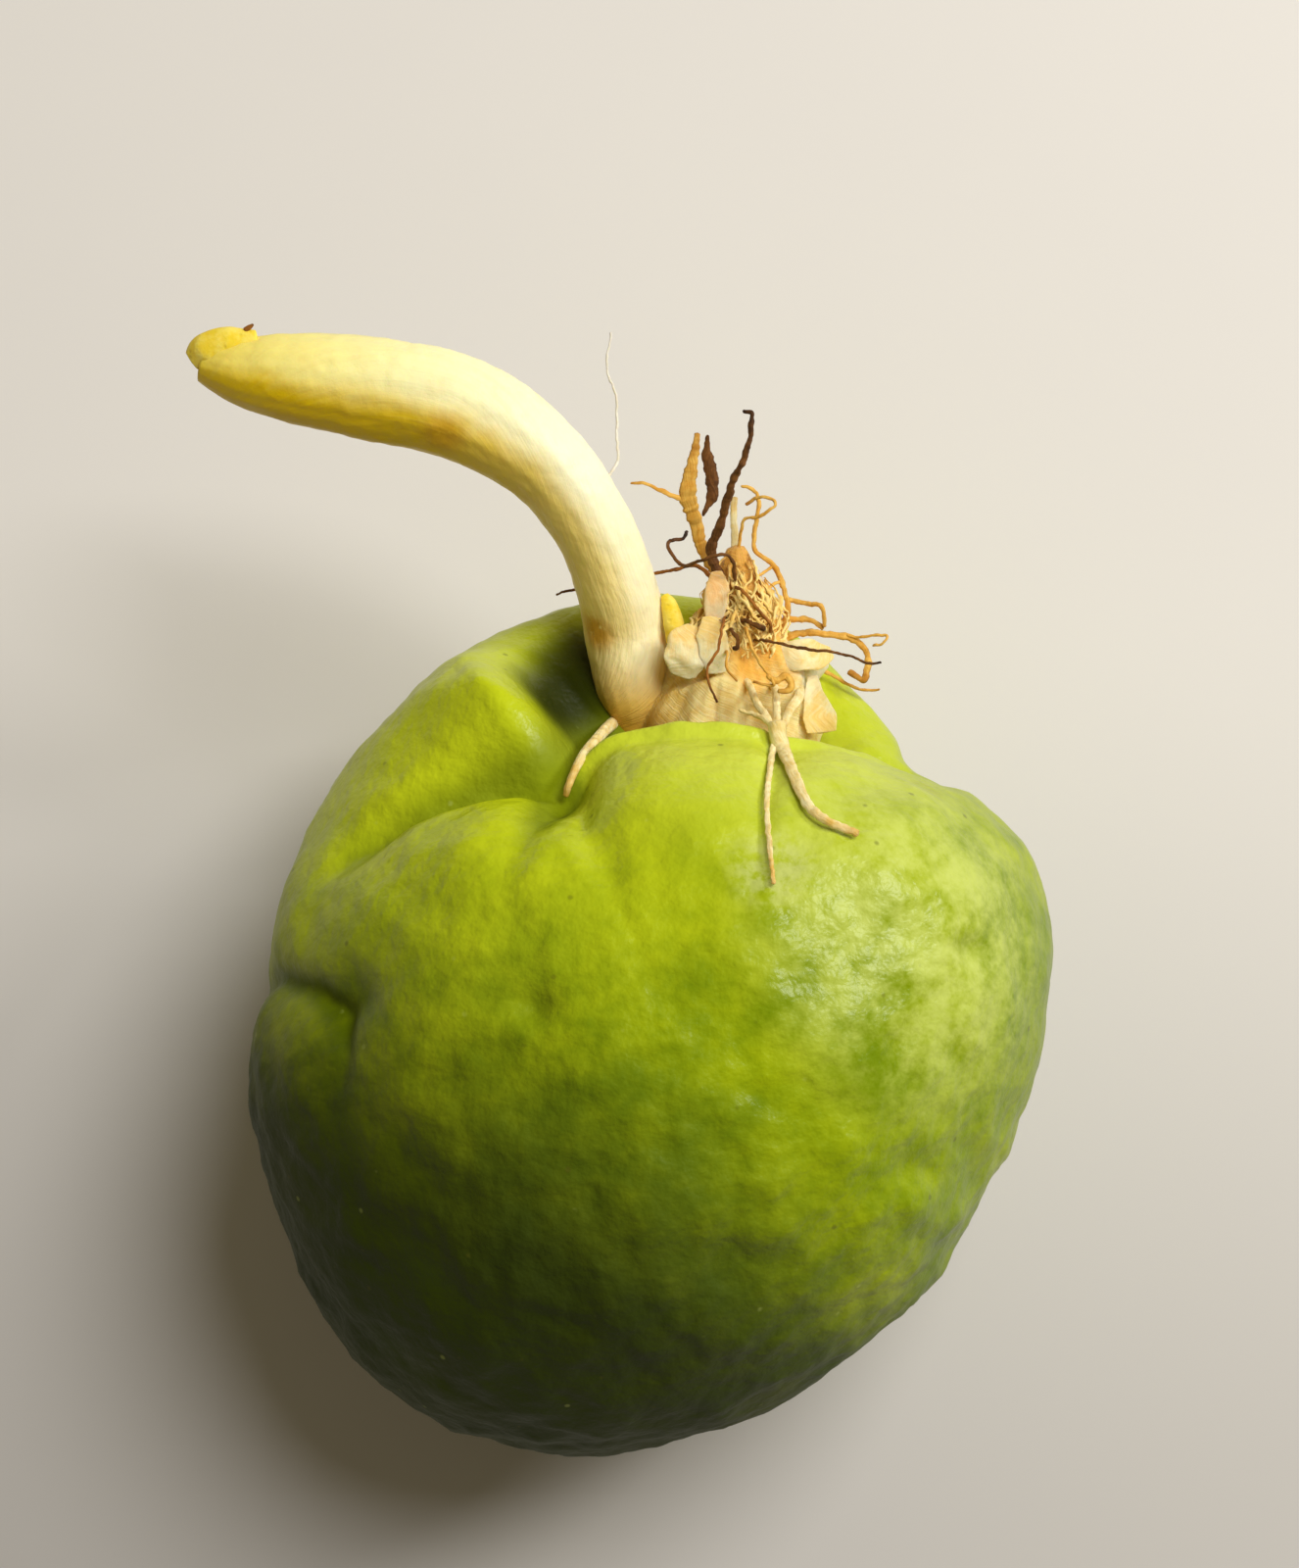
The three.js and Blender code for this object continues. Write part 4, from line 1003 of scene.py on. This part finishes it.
# Stout roots from the crown meet over the lip and then run on over the skin.
FORK = (12.5, 27, 1.6)
FROM_CROWN = [
    thick(0.55, 0.5, [(9, 36, 47.5), (10, 33.5, 50.5), (10.5, 31.5, 53), (11.5, 29.5, 55.5), FORK]),
    thick(0.55, 0.5, [(12, 35.5, 46.5), (12.5, 33.5, 50.5), (12.5, 31.5, 53), (12.5, 29.5, 55.5), FORK]),
    thick(0.8, 0.5, [(15, 35.5, 44.5), (15, 33, 49.5), (14, 31, 53), (13.5, 29.5, 55.5), FORK]),
    thick(0.2, 0.5, [(8.5, 30.5, 54.5), (10, 30, 55), (11.5, 29, 56.5), FORK]),
]
FORK_FOOT = [(12.5, 29, 1.4), (12.5, 27.5, 1.5)]
OVER_SKIN = [
    thick(0.6, 0.3, FORK_FOOT + [(12, 26, 1.3), (11.5, 23, 1), (11, 18, 0.9), (11.5, 10, 0.7)]),
    thick(1.3, 0.5, FORK_FOOT + [(13, 26, 1.4), (13.5, 23.5, 1.2), (15.5, 18, 1.1), (20, 15.5, 0.8)]),
]
LEFT_ROOT = thick(1, 0.4, [
    (-2.5, 33, 41.5), (-4.5, 31, 44.5), (-5.8, 28.5, 50), (-7.3, 25.5, 55.5), (-8.5, 22.5, 57.5),
    (-9, 21, 57)])


def stout_root(points, half_width, flat, seed):
    """A stout root: grooved along its length, with an uneven width."""
    tube = Tube(points, half_width, sides=24, step=0.14, flat=flat, blunt=0.3)
    tube.wide = tube.wide * (1 + 0.07 * np.sin(3 * tube.turn + 5 * tube.share[:, None]))
    mesh_points, faces, flow = tube.mesh()
    return mesh_points + 0.08 * wander(mesh_points, 0.8, seed)[:, None], faces, flow


def build_stout_roots():
    front = [stout_root(*crown_to_skin(route), 0.85, 20 + n) for n, route in enumerate(FROM_CROWN)]
    front += [stout_root(*over_skin(route), 0.6, 30 + n) for n, route in enumerate(OVER_SKIN)]
    make_piece("front_root_fork", front, CREAM, ["front_roots"])
    left = [stout_root(*by_crown(LEFT_ROOT), 0.9, 40)]
    make_piece("left_stout_root", left, CREAM, ["left_root"])


build_stout_roots()

# ---- the table, the light and the camera ----
TABLE_REACH = 2.0
LAMP_TARGET = Vector((0, 0, 0.03))
AIR_COLOUR = (1.0, 0.86, 0.56, 1)
AIR_STRENGTH = 0.18


def build_table():
    mesh = bpy.data.meshes.new("table")
    corners = [(x * TABLE_REACH, y * TABLE_REACH, 0) for x, y in [(-1, -1), (1, -1), (1, 1), (-1, 1)]]
    mesh.from_pydata(corners, [], [(0, 1, 2, 3)])
    mesh.materials.append(table_top())
    table = bpy.data.objects.new("table", mesh)
    bpy.context.scene.collection.objects.link(table)


def add_lamp(name, place, size, power, colour, in_gloss):
    """A round soft lamp at a place, turned to the target; it may be kept out of reflections."""
    data = bpy.data.lights.new(name, "AREA")
    data.shape = "DISK"
    data.size = size
    data.energy = power
    data.color = colour
    lamp = bpy.data.objects.new(name, data)
    bpy.context.scene.collection.objects.link(lamp)
    lamp.visible_glossy = in_gloss
    lamp.location = place
    lamp.rotation_euler = (LAMP_TARGET - lamp.location).to_track_quat("-Z", "Y").to_euler()


def light_the_studio():
    """A broad lamp high up that leaves no highlights, a smaller one that does, and dim air."""
    add_lamp("skylight", (0.34, 0.30, 0.94), size=0.5, power=7.2, colour=(0.96, 0.97, 1.0), in_gloss=False)
    add_lamp("window", (0.70, 0.33, 0.60), size=0.26, power=3.8, colour=(1.0, 0.99, 0.96), in_gloss=True)
    world = bpy.data.worlds.new("studio air")
    world.use_nodes = True
    air = world.node_tree.nodes["Background"]
    air.inputs["Color"].default_value = AIR_COLOUR
    air.inputs["Strength"].default_value = AIR_STRENGTH
    bpy.context.scene.world = world


CAMERA_ELEVATION = 80.0  # degrees above the table, seen from the stem end
CAMERA_LENS = 80.0
CAMERA_FILM = 36.0  # the taller side of the film
CAMERA_FAR = 0.3733
CAMERA_TARGET = Vector((-0.0005, 0.0261, MIDDLE_HEIGHT * MM))


def build_camera():
    data = bpy.data.cameras.new("camera")
    data.lens = CAMERA_LENS
    data.sensor_fit = "VERTICAL"
    data.sensor_height = CAMERA_FILM
    data.clip_start = 0.01
    camera = bpy.data.objects.new("camera", data)
    bpy.context.scene.collection.objects.link(camera)
    tilt = math.radians(CAMERA_ELEVATION)
    back = Vector((0, -math.cos(tilt), math.sin(tilt)))
    camera.location = CAMERA_TARGET + CAMERA_FAR * back
    camera.rotation_euler = (math.pi / 2 - tilt, 0, 0)
    bpy.context.scene.camera = camera


build_table()
light_the_studio()
build_camera()
bpy.context.scene.view_settings.view_transform = "Standard"
